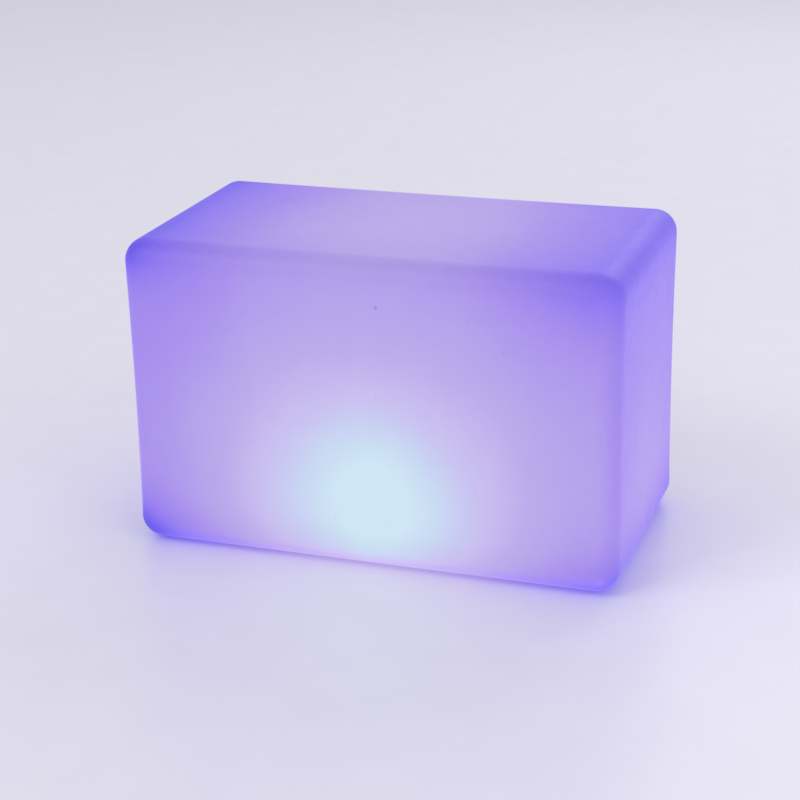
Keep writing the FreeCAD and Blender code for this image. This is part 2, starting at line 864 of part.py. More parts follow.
def battery_strap():
    """Steel band over both cells, with a foot on each ear of the cradle."""
    front_leg = cradle_front - strap_side_gap - strap_thickness / 2
    rear_leg = cradle_rear + strap_side_gap + strap_thickness / 2
    foot_level = ear_top + strap_thickness / 2
    top_level = cell_axis + cell_radius + strap_thickness / 2
    path = rounded_path(
        [
            point(0, cradle_front - ear_length, foot_level),
            point(0, front_leg, foot_level),
            point(0, front_leg, top_level),
            point(0, rear_leg, top_level),
            point(0, rear_leg, foot_level),
            point(0, cradle_rear + ear_length, foot_level),
        ],
        strap_bend_radius,
    )
    start = point(0, cradle_front - ear_length, foot_level)
    band = swept(path, rectangle(start, X_AXIS * ear_width, Z_AXIS * strap_thickness))
    return band.cut([
        disc(
            strap_screw_radius + screw_hole_gap,
            ear_top - CUT_PAST,
            ear_top + strap_thickness + CUT_PAST,
            x,
            y,
        )
        for x, y in strap_screw_places
    ])


def strap_screws():
    return [
        pan_screw(x, y, ear_top + strap_thickness, False, strap_screw_radius, strap_screw_head_radius,
                  strap_screw_head_height, strap_screw_length)
        for x, y in strap_screw_places
    ]


def nickel_strip(side):
    """Strip across both cells' ends, folded out over the cradle's end wall, where its lead is soldered.

    side is 1 for the right, positive end and -1 for the left, negative end.
    """
    contact = cell_end + (cell_cap_height if side > 0 else 0.0)
    wall_top = cell_axis + cradle_end_rise
    plate = block(
        contact,
        contact + strip_thickness,
        front_cell_y - strip_width / 2,
        rear_cell_y + strip_width / 2,
        cell_axis - strip_width / 2,
        cell_axis + strip_width / 2,
    )
    riser = block(
        contact,
        contact + strip_thickness,
        front_cell_y - strip_width / 2,
        front_cell_y + strip_width / 2,
        cell_axis,
        wall_top + strip_thickness,
    )
    tab = block(
        contact,
        cradle_outer_end,
        front_cell_y - strip_width / 2,
        front_cell_y + strip_width / 2,
        wall_top,
        wall_top + strip_thickness,
    )
    strip = plate.fuse([riser, tab]).removeSplitter()
    return strip if side > 0 else strip.mirror(ORIGIN, X_AXIS)


def battery_lead(side):
    """Insulated lead from a strip's tab, over the bay, down into the battery connector."""
    tab_top = cell_axis + cradle_end_rise + strip_thickness
    tab_x = side * (cradle_inner_end + cradle_end_wall / 2)
    over = ceiling_bottom - lead_below_ceiling
    end_x = battery_connector_x + side * lead_pitch / 2
    socket_top = board_top + connector_height
    start = [point(tab_x, front_cell_y, tab_top), point(tab_x, front_cell_y, over - lead_first_bend_drop)]
    route = red_lead_route if side > 0 else black_lead_route
    middle = [point(x, y, over) for x, y in route]
    finish = [point(end_x, connector_y, over), point(end_x, connector_y, socket_top)]
    path = rounded_path(start + middle + finish)
    section = Part.Wire(Part.makeCircle(lead_diameter / 2, start[0], Z_AXIS))
    return swept(path, section)


# --- Control board --------------------------------------------------------------------------------


def control_board():
    board = block(-board_end, board_end, board_front, board_rear, board_bottom, board_top)
    holes = [
        disc(board_screw_radius + screw_hole_gap, board_bottom - CUT_PAST, board_top + CUT_PAST, x, y)
        for x, y in board_hole_places
    ]
    return board.cut(holes)


def board_screws():
    return [
        pan_screw(x, y, board_top, False, board_screw_radius, board_screw_head_radius,
                  board_screw_head_height, board_screw_length)
        for x, y in board_hole_places
    ]


def chip(x):
    """Moulded chip with a row of short leads along each long side and a dimple at its first lead."""
    y = controls_y + chip_behind_controls
    body = centred_block(chip_length, chip_width, board_top, board_top + chip_height, x, y)
    first = -chip_lead_pitch * (chip_leads_per_side - 1) / 2
    leads = [
        centred_block(
            chip_lead_width,
            chip_width + 2 * chip_lead_reach,
            board_top,
            board_top + chip_lead_height,
            x + first + i * chip_lead_pitch,
            y,
        )
        for i in range(chip_leads_per_side)
    ]
    top = board_top + chip_height
    dot_x = x - chip_length / 2 + chip_dot_inset
    dot_y = y - chip_width / 2 + chip_dot_inset
    dot = disc(chip_dot_radius, top - chip_dot_depth, top + CUT_PAST, dot_x, dot_y)
    return body.fuse(leads).cut(dot)


def inductor():
    """Drum core: two flanges and a wound waist."""
    y = controls_y + inductor_behind_controls
    top = board_top + inductor_height
    return disc(inductor_waist, board_top, top, inductor_x, y).fuse([
        disc(inductor_radius, board_top, board_top + inductor_flange, inductor_x, y),
        disc(inductor_radius, top - inductor_flange, top, inductor_x, y),
    ])


def capacitors():
    """Two electrolytic cans, each with a crimp groove near its foot."""
    cans = []
    for i in range(capacitor_count):
        y = controls_y + capacitor_behind_controls - capacitor_spacing * i
        can = disc(capacitor_radius, board_top, board_top + capacitor_height, capacitor_x, y)
        crimp = ring(
            capacitor_radius + CUT_PAST,
            capacitor_radius - capacitor_crimp_depth,
            board_top + capacitor_crimp_low,
            board_top + capacitor_crimp_high,
            capacitor_x,
            y,
        )
        cans.append(can.cut(crimp))
    return cans


def driver_transistors():
    y = controls_y + transistor_behind_controls
    return [
        centred_block(transistor_size, transistor_size, board_top, board_top + transistor_height,
                      transistor_first_x + transistor_pitch * i, y)
        for i in range(transistor_count)
    ]


def chip_resistors():
    y = board_front + resistor_from_front
    return [
        centred_block(resistor_length, resistor_width, board_top, board_top + resistor_height,
                      resistor_first_x + resistor_pitch * i, y)
        for i in range(resistor_count)
    ]


def connector(x, length):
    """Connector on the board that takes its leads from above, with two key grooves down its front."""
    top = board_top + connector_height
    body = centred_block(length, connector_depth, board_top, top, x, connector_y)
    front = connector_y - connector_depth / 2
    return body.cut([
        centred_block(connector_key_width, 2 * connector_key_depth, board_top - CUT_PAST, top + CUT_PAST,
                      x + side * length / 4, front)
        for side in (-1, 1)
    ])


# --- Charging jack and its plug -------------------------------------------------------------------


def charging_jack():
    """Jack under the board, its nose in the base plate, its barrel open downward."""
    body = centred_block(jack_length, jack_width, plate_top + jack_plate_gap, board_bottom, port_x, controls_y)
    nose = disc(jack_nose_radius, recess_floor, plate_top + jack_plate_gap, port_x, controls_y)
    barrel = disc(jack_bore_radius, recess_floor - CUT_PAST, recess_floor + jack_bore_depth, port_x, controls_y)
    tail = disc(jack_tail_radius + jack_tail_fit, recess_floor, board_bottom + CUT_PAST, port_x, controls_y)
    return body.fuse(nose).removeSplitter().cut([barrel, tail])


def jack_centre_pin():
    """Contact pin in the barrel, with a thinner tail up to the board."""
    tip = recess_floor + jack_pin_recess
    root = recess_floor + jack_bore_depth
    point_end = cone(jack_pin_radius - jack_pin_bevel, jack_pin_radius, tip, tip + jack_pin_bevel,
                     port_x, controls_y)
    return point_end.fuse([
        disc(jack_pin_radius, tip + jack_pin_bevel, root, port_x, controls_y),
        disc(jack_tail_radius, root, board_bottom, port_x, controls_y),
    ]).removeSplitter()


def port_plug():
    """Silicone flap with a hollow stub that closes the jack and a tab to pull it by."""
    flap_top = plate_bottom + flap_thickness
    flap_end = hinge_x - flap_reach
    flap = tongue(flap_end, hinge_x - hinge_slit, controls_y, flap_width, plate_bottom, flap_top)
    stub = cone(stub_root_radius, stub_tip_radius, flap_top, flap_top + stub_length, port_x, controls_y)
    tab_start = flap_end + tab_inset
    tab = block(
        tab_start,
        tab_start + tab_length,
        controls_y - tab_width / 2,
        controls_y + tab_width / 2,
        plate_bottom - tab_proud,
        plate_bottom,
    )
    bore = disc(stub_bore_radius, flap_top, flap_top + stub_length + CUT_PAST, port_x, controls_y)
    return flap.fuse([stub, tab]).removeSplitter().cut(bore)


def port_plug_anchor():
    """Root of the plug's strap, with a peg through the base plate and a head behind it."""
    root = block(
        hinge_x + hinge_slit,
        hinge_x + anchor_length,
        controls_y - anchor_width / 2,
        controls_y + anchor_width / 2,
        plate_bottom,
        recess_floor,
    )
    peg_x = hinge_x + anchor_length / 2
    peg = disc(anchor_peg_radius, recess_floor, plate_top, peg_x, controls_y)
    head = cone(anchor_head_radius, anchor_peg_radius, plate_top, plate_top + anchor_head_height,
                peg_x, controls_y)
    return root.fuse([peg, head]).removeSplitter()


# --- Button, switch and indicator -----------------------------------------------------------------


def power_button():
    """Button with a fingertip hollow, a flange that keeps it in and a stem that meets the switch."""
    flange_bottom = plate_top + button_seat_gap
    flange_top = flange_bottom + button_flange_height
    button = disc(button_radius, plate_bottom, flange_bottom, button_x, controls_y).fuse([
        disc(button_flange_radius, flange_bottom, flange_top, button_x, controls_y),
        disc(button_stem_radius, flange_top, flange_top + button_stem_height, button_x, controls_y),
    ])
    ball_centre = plate_bottom + button_hollow_depth - button_hollow_radius
    hollow = Part.makeSphere(button_hollow_radius, point(button_x, controls_y, ball_centre))
    return button.removeSplitter().cut(hollow)


def button_seal():
    inner = button_radius + button_gap / 2
    outer = button_radius + button_gap + button_seal_width
    return ring(outer, inner, plate_top - button_seal_depth, plate_top, button_x, controls_y)


def switch_body():
    """Push switch under the board, with a well that its plunger travels in."""
    bottom = board_bottom - switch_height
    body = centred_block(switch_size, switch_size, bottom, board_bottom, button_x, controls_y)
    well_top = bottom + plunger_grip + button_travel + switch_stop_gap
    well = disc(plunger_radius + plunger_gap, bottom - CUT_PAST, well_top, button_x, controls_y)
    return body.cut(well)


def switch_plunger():
    bottom = plate_top + button_seat_gap + button_flange_height + button_stem_height + plunger_gap
    top = board_bottom - switch_height + plunger_grip
    return disc(plunger_radius, bottom, top, button_x, controls_y)


def indicator_led():
    return centred_block(indicator_length, indicator_width, board_bottom - indicator_height, board_bottom,
                         indicator_x, controls_y)


def indicator_light_pipe():
    """Clear rod that carries the indicator's light to the plate's underside."""
    rod = disc(pipe_radius, plate_bottom, board_bottom - indicator_height, indicator_x, controls_y)
    flange = disc(pipe_flange_radius, plate_top, plate_top + pipe_flange_height, indicator_x, controls_y)
    return rod.fuse(flange).removeSplitter()


# --- Light source ---------------------------------------------------------------------------------


def screw_passages(places, radius, low, high):
    return [disc(radius + screw_hole_gap, low - CUT_PAST, high + CUT_PAST, x, y) for x, y in places]


def heat_spreader():
    sheet = disc(led_board_radius + spreader_margin, ceiling_top, spreader_top)
    holes = screw_passages(led_screw_places, led_screw_radius, ceiling_top, spreader_top)
    holes.append(disc(grommet_radius, ceiling_top - CUT_PAST, spreader_top + CUT_PAST, ribbon_x, ribbon_exit_y))
    return sheet.cut(holes)


def led_board():
    board = disc(led_board_radius, spreader_top, led_board_top)
    return board.cut(screw_passages(led_screw_places, led_screw_radius, spreader_top, led_board_top))


def led_chips():
    """Square chips, each with a round window in its top."""
    top = led_board_top + led_height
    chips = []
    for x, y in led_places:
        body = centred_block(led_size, led_size, led_board_top, top, x, y)
        window = disc(led_window_radius, top - led_window_depth, top + CUT_PAST, x, y)
        chips.append(body.cut(window))
    return chips


def led_board_screws():
    return [
        pan_screw(x, y, led_board_top, False, led_screw_radius, led_screw_head_radius, led_screw_head_height,
                  led_screw_length)
        for x, y in led_screw_places
    ]


def infrared_receiver():
    """Remote-control receiver in the middle of the LED board, with a half-round lens on its front."""
    body = centred_block(receiver_length, receiver_width, led_board_top, led_board_top + receiver_height)
    lens_axis = led_board_top + receiver_height / 2
    lens = Part.makeSphere(receiver_lens_radius, point(0, -receiver_width / 2, lens_axis))
    return body.fuse(lens)


def diffuser_dome():
    """Frosted cap over the LED board: a flat flange and a shallow spherical dome."""
    outer_radius = dome_inner_radius + dome_wall
    ball_outer = (outer_radius**2 + dome_rise**2) / (2 * dome_rise)
    inner_rise = dome_rise - dome_wall
    ball_inner = (dome_inner_radius**2 + inner_rise**2) / (2 * inner_rise)

    def on_ball(ball, radius, crown):
        return point(radius, 0, crown - ball + math.sqrt(ball**2 - radius**2))

    crown_outer = dome_flange_top + dome_rise
    crown_inner = dome_flange_top + inner_rise
    rim = [
        point(dome_inner_radius, 0, dome_flange_bottom),
        point(dome_flange_radius, 0, dome_flange_bottom),
        point(dome_flange_radius, 0, dome_flange_top),
        point(outer_radius, 0, dome_flange_top),
    ]
    top_out = point(0, 0, crown_outer)
    top_in = point(0, 0, crown_inner)
    inner_corner = point(dome_inner_radius, 0, dome_flange_top)
    dome = turned([
        line(rim[0], rim[1]),
        line(rim[1], rim[2]),
        line(rim[2], rim[3]),
        arc(rim[3], on_ball(ball_outer, outer_radius / 2, crown_outer), top_out),
        line(top_out, top_in),
        arc(top_in, on_ball(ball_inner, dome_inner_radius / 2, crown_inner), inner_corner),
        line(inner_corner, rim[0]),
    ])
    return dome.cut(screw_passages(dome_screw_places, dome_screw_radius, dome_flange_bottom, dome_flange_top))


def dome_seal():
    seal = ring(dome_flange_radius - dome_seal_margin, dome_inner_radius + dome_seal_margin,
                ceiling_top, dome_flange_bottom)
    return seal.cut(screw_passages(dome_screw_places, dome_screw_radius, ceiling_top, dome_flange_bottom))


def dome_screws():
    return [
        pan_screw(x, y, dome_flange_top, False, dome_screw_radius, dome_screw_head_radius,
                  dome_screw_head_height, dome_screw_length)
        for x, y in dome_screw_places
    ]


def led_ribbon():
    """Flat lead that rises from its connector, runs back under the ceiling and up to the LED board."""
    start = point(ribbon_x, connector_y, board_top + connector_height)
    level = ceiling_bottom - ribbon_drop
    path = rounded_path([
        start,
        point(ribbon_x, connector_y, level),
        point(ribbon_x, ribbon_exit_y, level),
        point(ribbon_x, ribbon_exit_y, spreader_top),
    ], ribbon_bend_radius)
    return swept(path, rectangle(start, X_AXIS * ribbon_width, Y_AXIS * ribbon_thickness))


def ribbon_grommet():
    """Silicone bush in the ceiling, with a slot for the ribbon."""
    bottom = ceiling_bottom - grommet_flange_thickness
    bush = disc(grommet_radius - grommet_fit, ceiling_bottom, ceiling_top, ribbon_x, ribbon_exit_y)
    bush = bush.fuse(disc(grommet_flange_radius, bottom, ceiling_bottom, ribbon_x, ribbon_exit_y))
    slot = centred_block(
        ribbon_width + 2 * ribbon_slot_gap,
        ribbon_thickness + 2 * ribbon_slot_gap,
        bottom - CUT_PAST,
        ceiling_top + CUT_PAST,
        ribbon_x,
        ribbon_exit_y,
    )
    return bush.removeSplitter().cut(slot)


# --- All pieces -----------------------------------------------------------------------------------

pieces = {
    "shell": shell(),
    "threaded_inserts": threaded_inserts(),
    "foot_tape_discs": foot_tape_discs(),
    "base_plate": base_plate(),
    "base_gasket": base_gasket(),
    "sealing_washers": sealing_washers(),
    "mounting_screws": mounting_screws(),
    "unit_housing": unit_housing(),
    "housing_seal": housing_seal(),
    "housing_screws": housing_screws(),
    "battery_cell_front": battery_cell(front_cell_y),
    "battery_cell_rear": battery_cell(rear_cell_y),
    "battery_cradle": battery_cradle(),
    "battery_strap": battery_strap(),
    "strap_screws": strap_screws(),
    "nickel_strip_positive": nickel_strip(1),
    "nickel_strip_negative": nickel_strip(-1),
    "battery_lead_red": battery_lead(1),
    "battery_lead_black": battery_lead(-1),
    "battery_connector": connector(battery_connector_x, battery_connector_length),
    "control_board": control_board(),
    "board_screws": board_screws(),
    "microcontroller": chip(microcontroller_x),
    "charge_chip": chip(charge_chip_x),
    "inductor": inductor(),
    "capacitors": capacitors(),
    "driver_transistors": driver_transistors(),
    "chip_resistors": chip_resistors(),
    "charging_jack": charging_jack(),
    "jack_centre_pin": jack_centre_pin(),
    "port_plug": port_plug(),
    "port_plug_anchor": port_plug_anchor(),
    "power_button": power_button(),
    "button_seal": button_seal(),
    "switch_body": switch_body(),
    "switch_plunger": switch_plunger(),
    "indicator_led": indicator_led(),
    "indicator_light_pipe": indicator_light_pipe(),
    "heat_spreader": heat_spreader(),
    "led_board": led_board(),
    "led_chips": led_chips(),
    "led_board_screws": led_board_screws(),
    "infrared_receiver": infrared_receiver(),
    "diffuser_dome": diffuser_dome(),
    "dome_seal": dome_seal(),
    "dome_screws": dome_screws(),
    "led_ribbon": led_ribbon(),
    "ribbon_connector": connector(ribbon_x, ribbon_connector_length),
    "ribbon_grommet": ribbon_grommet(),
}
pieces.update({name: foot(x, y) for name, (x, y) in foot_places.items()})

for name, solid in pieces.items():
    shape = Part.makeCompound(solid) if isinstance(solid, list) else solid
    shape.exportStep("parts/" + name + ".step")
    corner = shape.BoundBox
    print(
        name,
        len(shape.Solids),
        "solids, valid" if shape.isValid() else "solids, NOT VALID",
        "z %.2f to %.2f" % (corner.ZMin, corner.ZMax),
        "volume %.1f" % shape.Volume,
    )
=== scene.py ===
import json
import math

import bpy
import numpy as np
from mathutils import Matrix, Vector


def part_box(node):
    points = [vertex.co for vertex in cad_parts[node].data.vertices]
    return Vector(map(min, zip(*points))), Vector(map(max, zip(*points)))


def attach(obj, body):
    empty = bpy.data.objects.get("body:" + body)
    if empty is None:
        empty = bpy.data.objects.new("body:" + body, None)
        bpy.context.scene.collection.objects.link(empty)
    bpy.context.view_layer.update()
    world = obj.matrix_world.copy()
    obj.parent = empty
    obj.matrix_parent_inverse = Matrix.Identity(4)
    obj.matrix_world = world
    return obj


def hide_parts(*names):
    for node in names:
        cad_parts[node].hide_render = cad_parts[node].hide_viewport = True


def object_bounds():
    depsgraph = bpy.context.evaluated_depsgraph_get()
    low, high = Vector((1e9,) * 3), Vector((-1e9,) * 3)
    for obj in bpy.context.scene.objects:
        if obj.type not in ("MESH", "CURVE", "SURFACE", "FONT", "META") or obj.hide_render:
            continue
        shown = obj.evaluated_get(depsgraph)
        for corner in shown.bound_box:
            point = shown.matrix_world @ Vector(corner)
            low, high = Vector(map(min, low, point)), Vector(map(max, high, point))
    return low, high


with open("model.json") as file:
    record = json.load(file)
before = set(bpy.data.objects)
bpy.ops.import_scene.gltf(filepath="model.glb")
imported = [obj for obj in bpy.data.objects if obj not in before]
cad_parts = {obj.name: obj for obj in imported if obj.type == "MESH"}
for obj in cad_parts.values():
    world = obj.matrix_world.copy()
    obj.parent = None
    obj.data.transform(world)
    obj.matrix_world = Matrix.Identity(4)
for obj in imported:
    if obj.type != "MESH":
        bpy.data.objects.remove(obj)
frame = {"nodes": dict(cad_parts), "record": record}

# A rounded, glowing light block of moulded polyethylene, with its lamp unit in the underside.
# Metres. The block stands on z = 0 with its front towards -Y.

MM = 0.001
CAD_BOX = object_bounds()
NODES = frame["nodes"]
BODY = "block"

# --- Sizes of the shell's own surface -------------------------------------------------------------

HALF_LENGTH = CAD_BOX[1][0]
HALF_WIDTH = CAD_BOX[1][1]
SHELL_LOW, SHELL_HIGH = (corner[2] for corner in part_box("shell"))
EDGE_RADIUS = 26 * MM
WALL = 3.5 * MM
POCKET_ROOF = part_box("base_gasket")[1][2]
PLATE_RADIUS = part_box("base_plate")[1][0]
POCKET_RADIUS = PLATE_RADIUS + 1.5 * MM
OPENING_RADIUS = POCKET_RADIUS - 18 * MM
MOUTH_RADIUS = 3 * MM
SIDE_BOW = 1.3 * MM  # the sides draw in by this at mid height
TOP_SAG = 0.9 * MM  # the top face sinks by this along its middle
FACE_DISH = 0.6 * MM  # and each side and the top by up to this more, at its middle
SURFACE_WAVE = 0.08 * MM
WAVE_TURNS = (31, 27, 36)  # radians of the slow wave per metre along x, y and z
BOW_START = 20 * MM  # height over which the bow comes in, from two walls above the pocket's roof
SHARP_ANGLE = 38  # degrees between faces, from which an edge is shaded sharp

# Rings and steps of the shell's mesh
CORNER_STEPS = 15
END_STEPS = 30
FRONT_STEPS = 58
TOP_RINGS = 30
ROUNDING_RINGS = 13
SIDE_RINGS = 52
UNDER_RINGS = 18
MOUTH_RINGS = 7
INNER_FLOOR_RINGS = 9
INNER_ROUNDING_RINGS = 7
INNER_SIDE_RINGS = 14
INNER_TOP_RINGS = 12

# --- Light from the lamp unit, as it shows on the wall --------------------------------------------
# These values were set to bring the render near the photograph. None of them is measured.

LAMP_PLACE = (8 * MM, 0, 78 * MM)  # where the light seems to come from
MOST_DIRECT = 1.25  # direct light is cut off here, against 1 at the front wall's nearest place
REFLECTED = 0.11  # light that has bounced about inside the hollow, on the same scale
REFLECTED_REACH = 150 * MM  # along the length, where it has fallen to 1 / e
END_REFLECTED = 0.085  # what takes its place towards the short ends
END_LEAN = 0.35  # share by which that is more at the right end and less at the left
END_HEIGHT = 165 * MM  # it is strongest at this height, and gone at 0 and at twice it
LIGHT_GAMMA = 0.58  # power that the sum is raised to
# Painted shade: the top, top end and end losses offset the studio lamps' light there, and the under,
# rounding and edge losses darken the lower rounding, which faces away from the light.
TOP_LOSS = 0.09
TOP_END_LOSS = 0.09  # further loss at the top's two ends
END_LOSS = 0.12
UNDER_LOSS = 0.14
ROUNDING_LOSS = 0.05  # halfway round the lower edge
EDGE_LOSS = 0.17  # at the bottom of the sides
EDGE_FALL = 60 * MM  # height over which that fades
HIGH_CORNER_LOSS = 0.36
CORNER_FALL_HIGH = 80 * MM
LOW_CORNER_LOSS = 0.50
CORNER_FALL_LOW = 100 * MM
CORNER_LEAN = 0.5  # share by which the corners lose less at the right end and more at the left
UNDER_SPARED = 0.8  # share of the two lower losses that the underside is spared
DIM_CORNER = (238 * MM, -140 * MM, 318 * MM)  # a slightly dimmer patch by the upper right front corner
DIM_CORNER_SIZE = 34 * MM
DIM_CORNER_LOSS = 0.05
DIMMEST = -0.15  # light level that the darkest colour stands for


# --- The shell's finish ---------------------------------------------------------------------------

GLOW_COLOURS = {  # light level and the colour it shows, from the blue-violet corners to the pale middle
    DIMMEST: "#5f4de6", 0.00: "#7b66f0", 0.10: "#8d75f1", 0.20: "#9a81ee", 0.32: "#a78eec", 0.45: "#b4a0ea",
    0.58: "#bdacea", 0.68: "#c7baee", 0.77: "#c8c5f0", 0.86: "#c8d3f1", 0.94: "#cadef2", 1.00: "#cee6f4",
}
EMISSION_BELOW = 0.88  # strength of the glow on faces that look down: stronger, as painted light that makes up for the studio lamps' light they lack
EMISSION_ABOVE = 0.71  # and on faces that look up
BASE_SHARE = 0.20  # share of the glow's colour painted into the base colour as well: painted light, lit again by the studio lamps
SPECKS = (  # dark grains in the wall: centre and radius in millimetres
    ((18, -150, 301), 2.6), ((29, -150, 188), 1.8), ((-118, 60, 350), 1.8),
)


def linear(code):
    """Colour written as sRGB hex, turned to the linear values that shaders use."""
    parts = [int(code[i:i + 2], 16) / 255 for i in (1, 3, 5)]
    return tuple(c / 12.92 if c <= 0.04045 else ((c + 0.055) / 1.055) ** 2.4 for c in parts) + (1.0,)


# --- Node helper ----------------------------------------------------------------------------------


def add(tree, kind, settings, output=0):
    """Adds a node and returns one of its outputs. A setting is a property, a value or a link."""
    node = tree.nodes.new("ShaderNode" + kind)
    sockets = {}
    for name, value in settings.items():
        if isinstance(name, str) and hasattr(node, name) and name not in node.inputs:
            setattr(node, name, value)
        else:
            sockets[name] = value
    for name, value in sockets.items():
        if isinstance(value, bpy.types.NodeSocket):
            tree.links.new(value, node.inputs[name])
        else:
            node.inputs[name].default_value = value
    return node.outputs[output]


def new_material(name):
    """Empty material and its node tree."""
    material = bpy.data.materials.new(name)
    material.use_nodes = True
    material.node_tree.nodes.clear()
    return material, material.node_tree


def close(tree, surface):
    """Links the finished shader to the material's output."""
    output = tree.nodes.new("ShaderNodeOutputMaterial")
    tree.links.new(surface, output.inputs["Surface"])


def object_place(tree):
    """Place on the piece in metres."""
    return add(tree, "TexCoord", {}, "Object")


def noise(tree, place, grain, detail=3.0, roughness=0.5):
    """Noise whose lumps are about grain metres across."""
    return add(tree, "TexNoise", {
        "Vector": place, "Scale": 1 / grain, "Detail": detail, "Roughness": roughness,
    })


def ramp(tree, value, stops):
    """Colour ramp with (place, linear colour) stops."""
    output = add(tree, "ValToRGB", {"Fac": value})
    elements = output.node.color_ramp.elements
    while len(elements) > 1:
        elements.remove(elements[-1])
    elements[0].position, elements[0].color = stops[0]
    for place, colour in stops[1:]:
        elements.new(place).color = colour
    return output


def level(tree, value, low, high, to_low, to_high):
    """A value in low..high spread over to_low..to_high."""
    return add(tree, "MapRange", {"Value": value, "From Min": low, "From Max": high,
                                  "To Min": to_low, "To Max": to_high})


def maths(tree, operation, a, b=0.0):
    """One arithmetic step on two values."""
    return add(tree, "Math", {"operation": operation, 0: a, 1: b})


def mixed(tree, factor, a, b, blend="MIX"):
    """Mix of two colours."""
    node = tree.nodes.new("ShaderNodeMix")
    node.data_type = "RGBA"
    node.blend_type = blend
    for index, value in ((0, factor), (6, a), (7, b)):
        if isinstance(value, bpy.types.NodeSocket):
            tree.links.new(value, node.inputs[index])
        else:
            node.inputs[index].default_value = value
    return node.outputs[2]


def bump(tree, height, distance, strength=0.5):
    """Normal tilted by a height of 0..1 that stands for distance metres."""
    return add(tree, "Bump", {"Height": height, "Distance": distance, "Strength": strength}, "Normal")


def axis_of(tree, place, axis):
    """One part, X, Y or Z, of a place or a direction."""
    return add(tree, "SeparateXYZ", {0: place}, axis)


# --- Meshes ---------------------------------------------------------------------------------------


def mesh_object(name, points, faces):
    """Object at the origin from an array of points and an array of faces, shaded smooth."""
    mesh = bpy.data.meshes.new(name)
    mesh.from_pydata(points.tolist(), [], faces)
    mesh.validate()
    mesh.shade_smooth()
    mesh.set_sharp_from_angle(angle=math.radians(SHARP_ANGLE))
    thing = bpy.data.objects.new(name, mesh)
    bpy.context.scene.collection.objects.link(thing)
    return thing


def grid_faces(rows, columns):
    """Quads of a grid that closes on itself along its columns."""
    r, c = np.meshgrid(np.arange(rows - 1), np.arange(columns), indexing="ij")
    after = (c + 1) % columns
    near, far = r * columns, (r + 1) * columns
    return np.stack([near + c, far + c, far + after, near + after], -1).reshape(-1, 4)


def outline():
    """Plan of the block's core and its outward directions, once round.

    The core is the rectangle that the corner arcs are centred on. Each straight side repeats its one
    direction, and each corner repeats its one core point while the direction turns a quarter.
    """
    long_side = HALF_LENGTH - EDGE_RADIUS
    short_side = HALF_WIDTH - EDGE_RADIUS
    core = []
    ways = []
    corners = [
        (long_side, -short_side), (long_side, short_side),
        (-long_side, short_side), (-long_side, -short_side),
    ]
    for i, (x, y) in enumerate(corners):
        turn = np.linspace(-math.pi / 2, 0, CORNER_STEPS) + i * math.pi / 2
        core.append(np.repeat([[x, y]], len(turn), 0))
        ways.append(np.stack([np.cos(turn), np.sin(turn)], 1))
        nx, ny = corners[(i + 1) % 4]
        steps = END_STEPS if i % 2 == 0 else FRONT_STEPS
        along = np.linspace(0, 1, steps + 1)[1:-1, None]
        side = (1 - along) * np.array([[x, y]]) + along * np.array([[nx, ny]])
        core.append(side)
        ways.append(np.repeat(ways[-1][-1:], len(side), 0))
    return np.concatenate(core), np.concatenate(ways)


def shell_rows():
    """Rows of the shell's closed surface: from the outer pole on top, round the pocket, to the inner pole.

    Each row is (core share, reach along the outward direction, circle share, circle radius, level,
    outward part of the normal, upward part of the normal).
    """
    low, high = SHELL_LOW, SHELL_HIGH
    rows = [(s, 0, 0, 0, high, 0, 1) for s in np.linspace(0.03, 0.98, TOP_RINGS)]
    for a in np.linspace(0, math.pi / 2, ROUNDING_RINGS):
        z = high - EDGE_RADIUS * (1 - math.cos(a))
        rows.append((1, EDGE_RADIUS * math.sin(a), 0, 0, z, math.sin(a), math.cos(a)))
    for z in np.linspace(high - EDGE_RADIUS, low + EDGE_RADIUS, SIDE_RINGS)[1:-1]:
        rows.append((1, EDGE_RADIUS, 0, 0, z, 1, 0))
    for a in np.linspace(math.pi / 2, 0, ROUNDING_RINGS):
        z = low + EDGE_RADIUS * (1 - math.cos(a))
        rows.append((1, EDGE_RADIUS * math.sin(a), 0, 0, z, math.sin(a), -math.cos(a)))
    mouth = POCKET_RADIUS + MOUTH_RADIUS
    rows += [(1 - w, 0, w, mouth, low, 0, -1) for w in np.linspace(0, 1, UNDER_RINGS)[1:-1]]
    for a in np.linspace(0, math.pi / 2, MOUTH_RINGS):
        radius = mouth - MOUTH_RADIUS * math.sin(a)
        rows.append((0, 0, 1, radius, low + MOUTH_RADIUS * (1 - math.cos(a)), 0, -1))
    ring_outer = POCKET_RADIUS + WALL
    inner_low = low + WALL
    inner_high = high - WALL
    for radius, z in (
        (POCKET_RADIUS, POCKET_ROOF), (OPENING_RADIUS, POCKET_ROOF), (OPENING_RADIUS, POCKET_ROOF + WALL),
        (ring_outer, POCKET_ROOF + WALL), (ring_outer, inner_low),
    ):
        rows.append((0, 0, 1, radius, z, 0, -1))
    rows += [(w, 0, 1 - w, ring_outer, inner_low, 0, -1) for w in np.linspace(0, 1, INNER_FLOOR_RINGS)[1:]]
    inner_radius = EDGE_RADIUS - WALL
    for a in np.linspace(0, math.pi / 2, INNER_ROUNDING_RINGS)[1:]:
        z = inner_low + inner_radius * (1 - math.cos(a))
        rows.append((1, inner_radius * math.sin(a), 0, 0, z, math.sin(a), 0))
    side_low, side_high = inner_low + inner_radius, inner_high - inner_radius
    for z in np.linspace(side_low, side_high, INNER_SIDE_RINGS)[1:-1]:
        rows.append((1, inner_radius, 0, 0, z, 1, 0))
    for a in np.linspace(math.pi / 2, 0, INNER_ROUNDING_RINGS):
        z = inner_high - inner_radius * (1 - math.cos(a))
        rows.append((1, inner_radius * math.sin(a), 0, 0, z, math.sin(a), 1))
    rows += [(s, 0, 0, 0, inner_high, 0, 1) for s in np.linspace(0.95, 0.05, INNER_TOP_RINGS)]
    return np.array(rows, dtype=float)


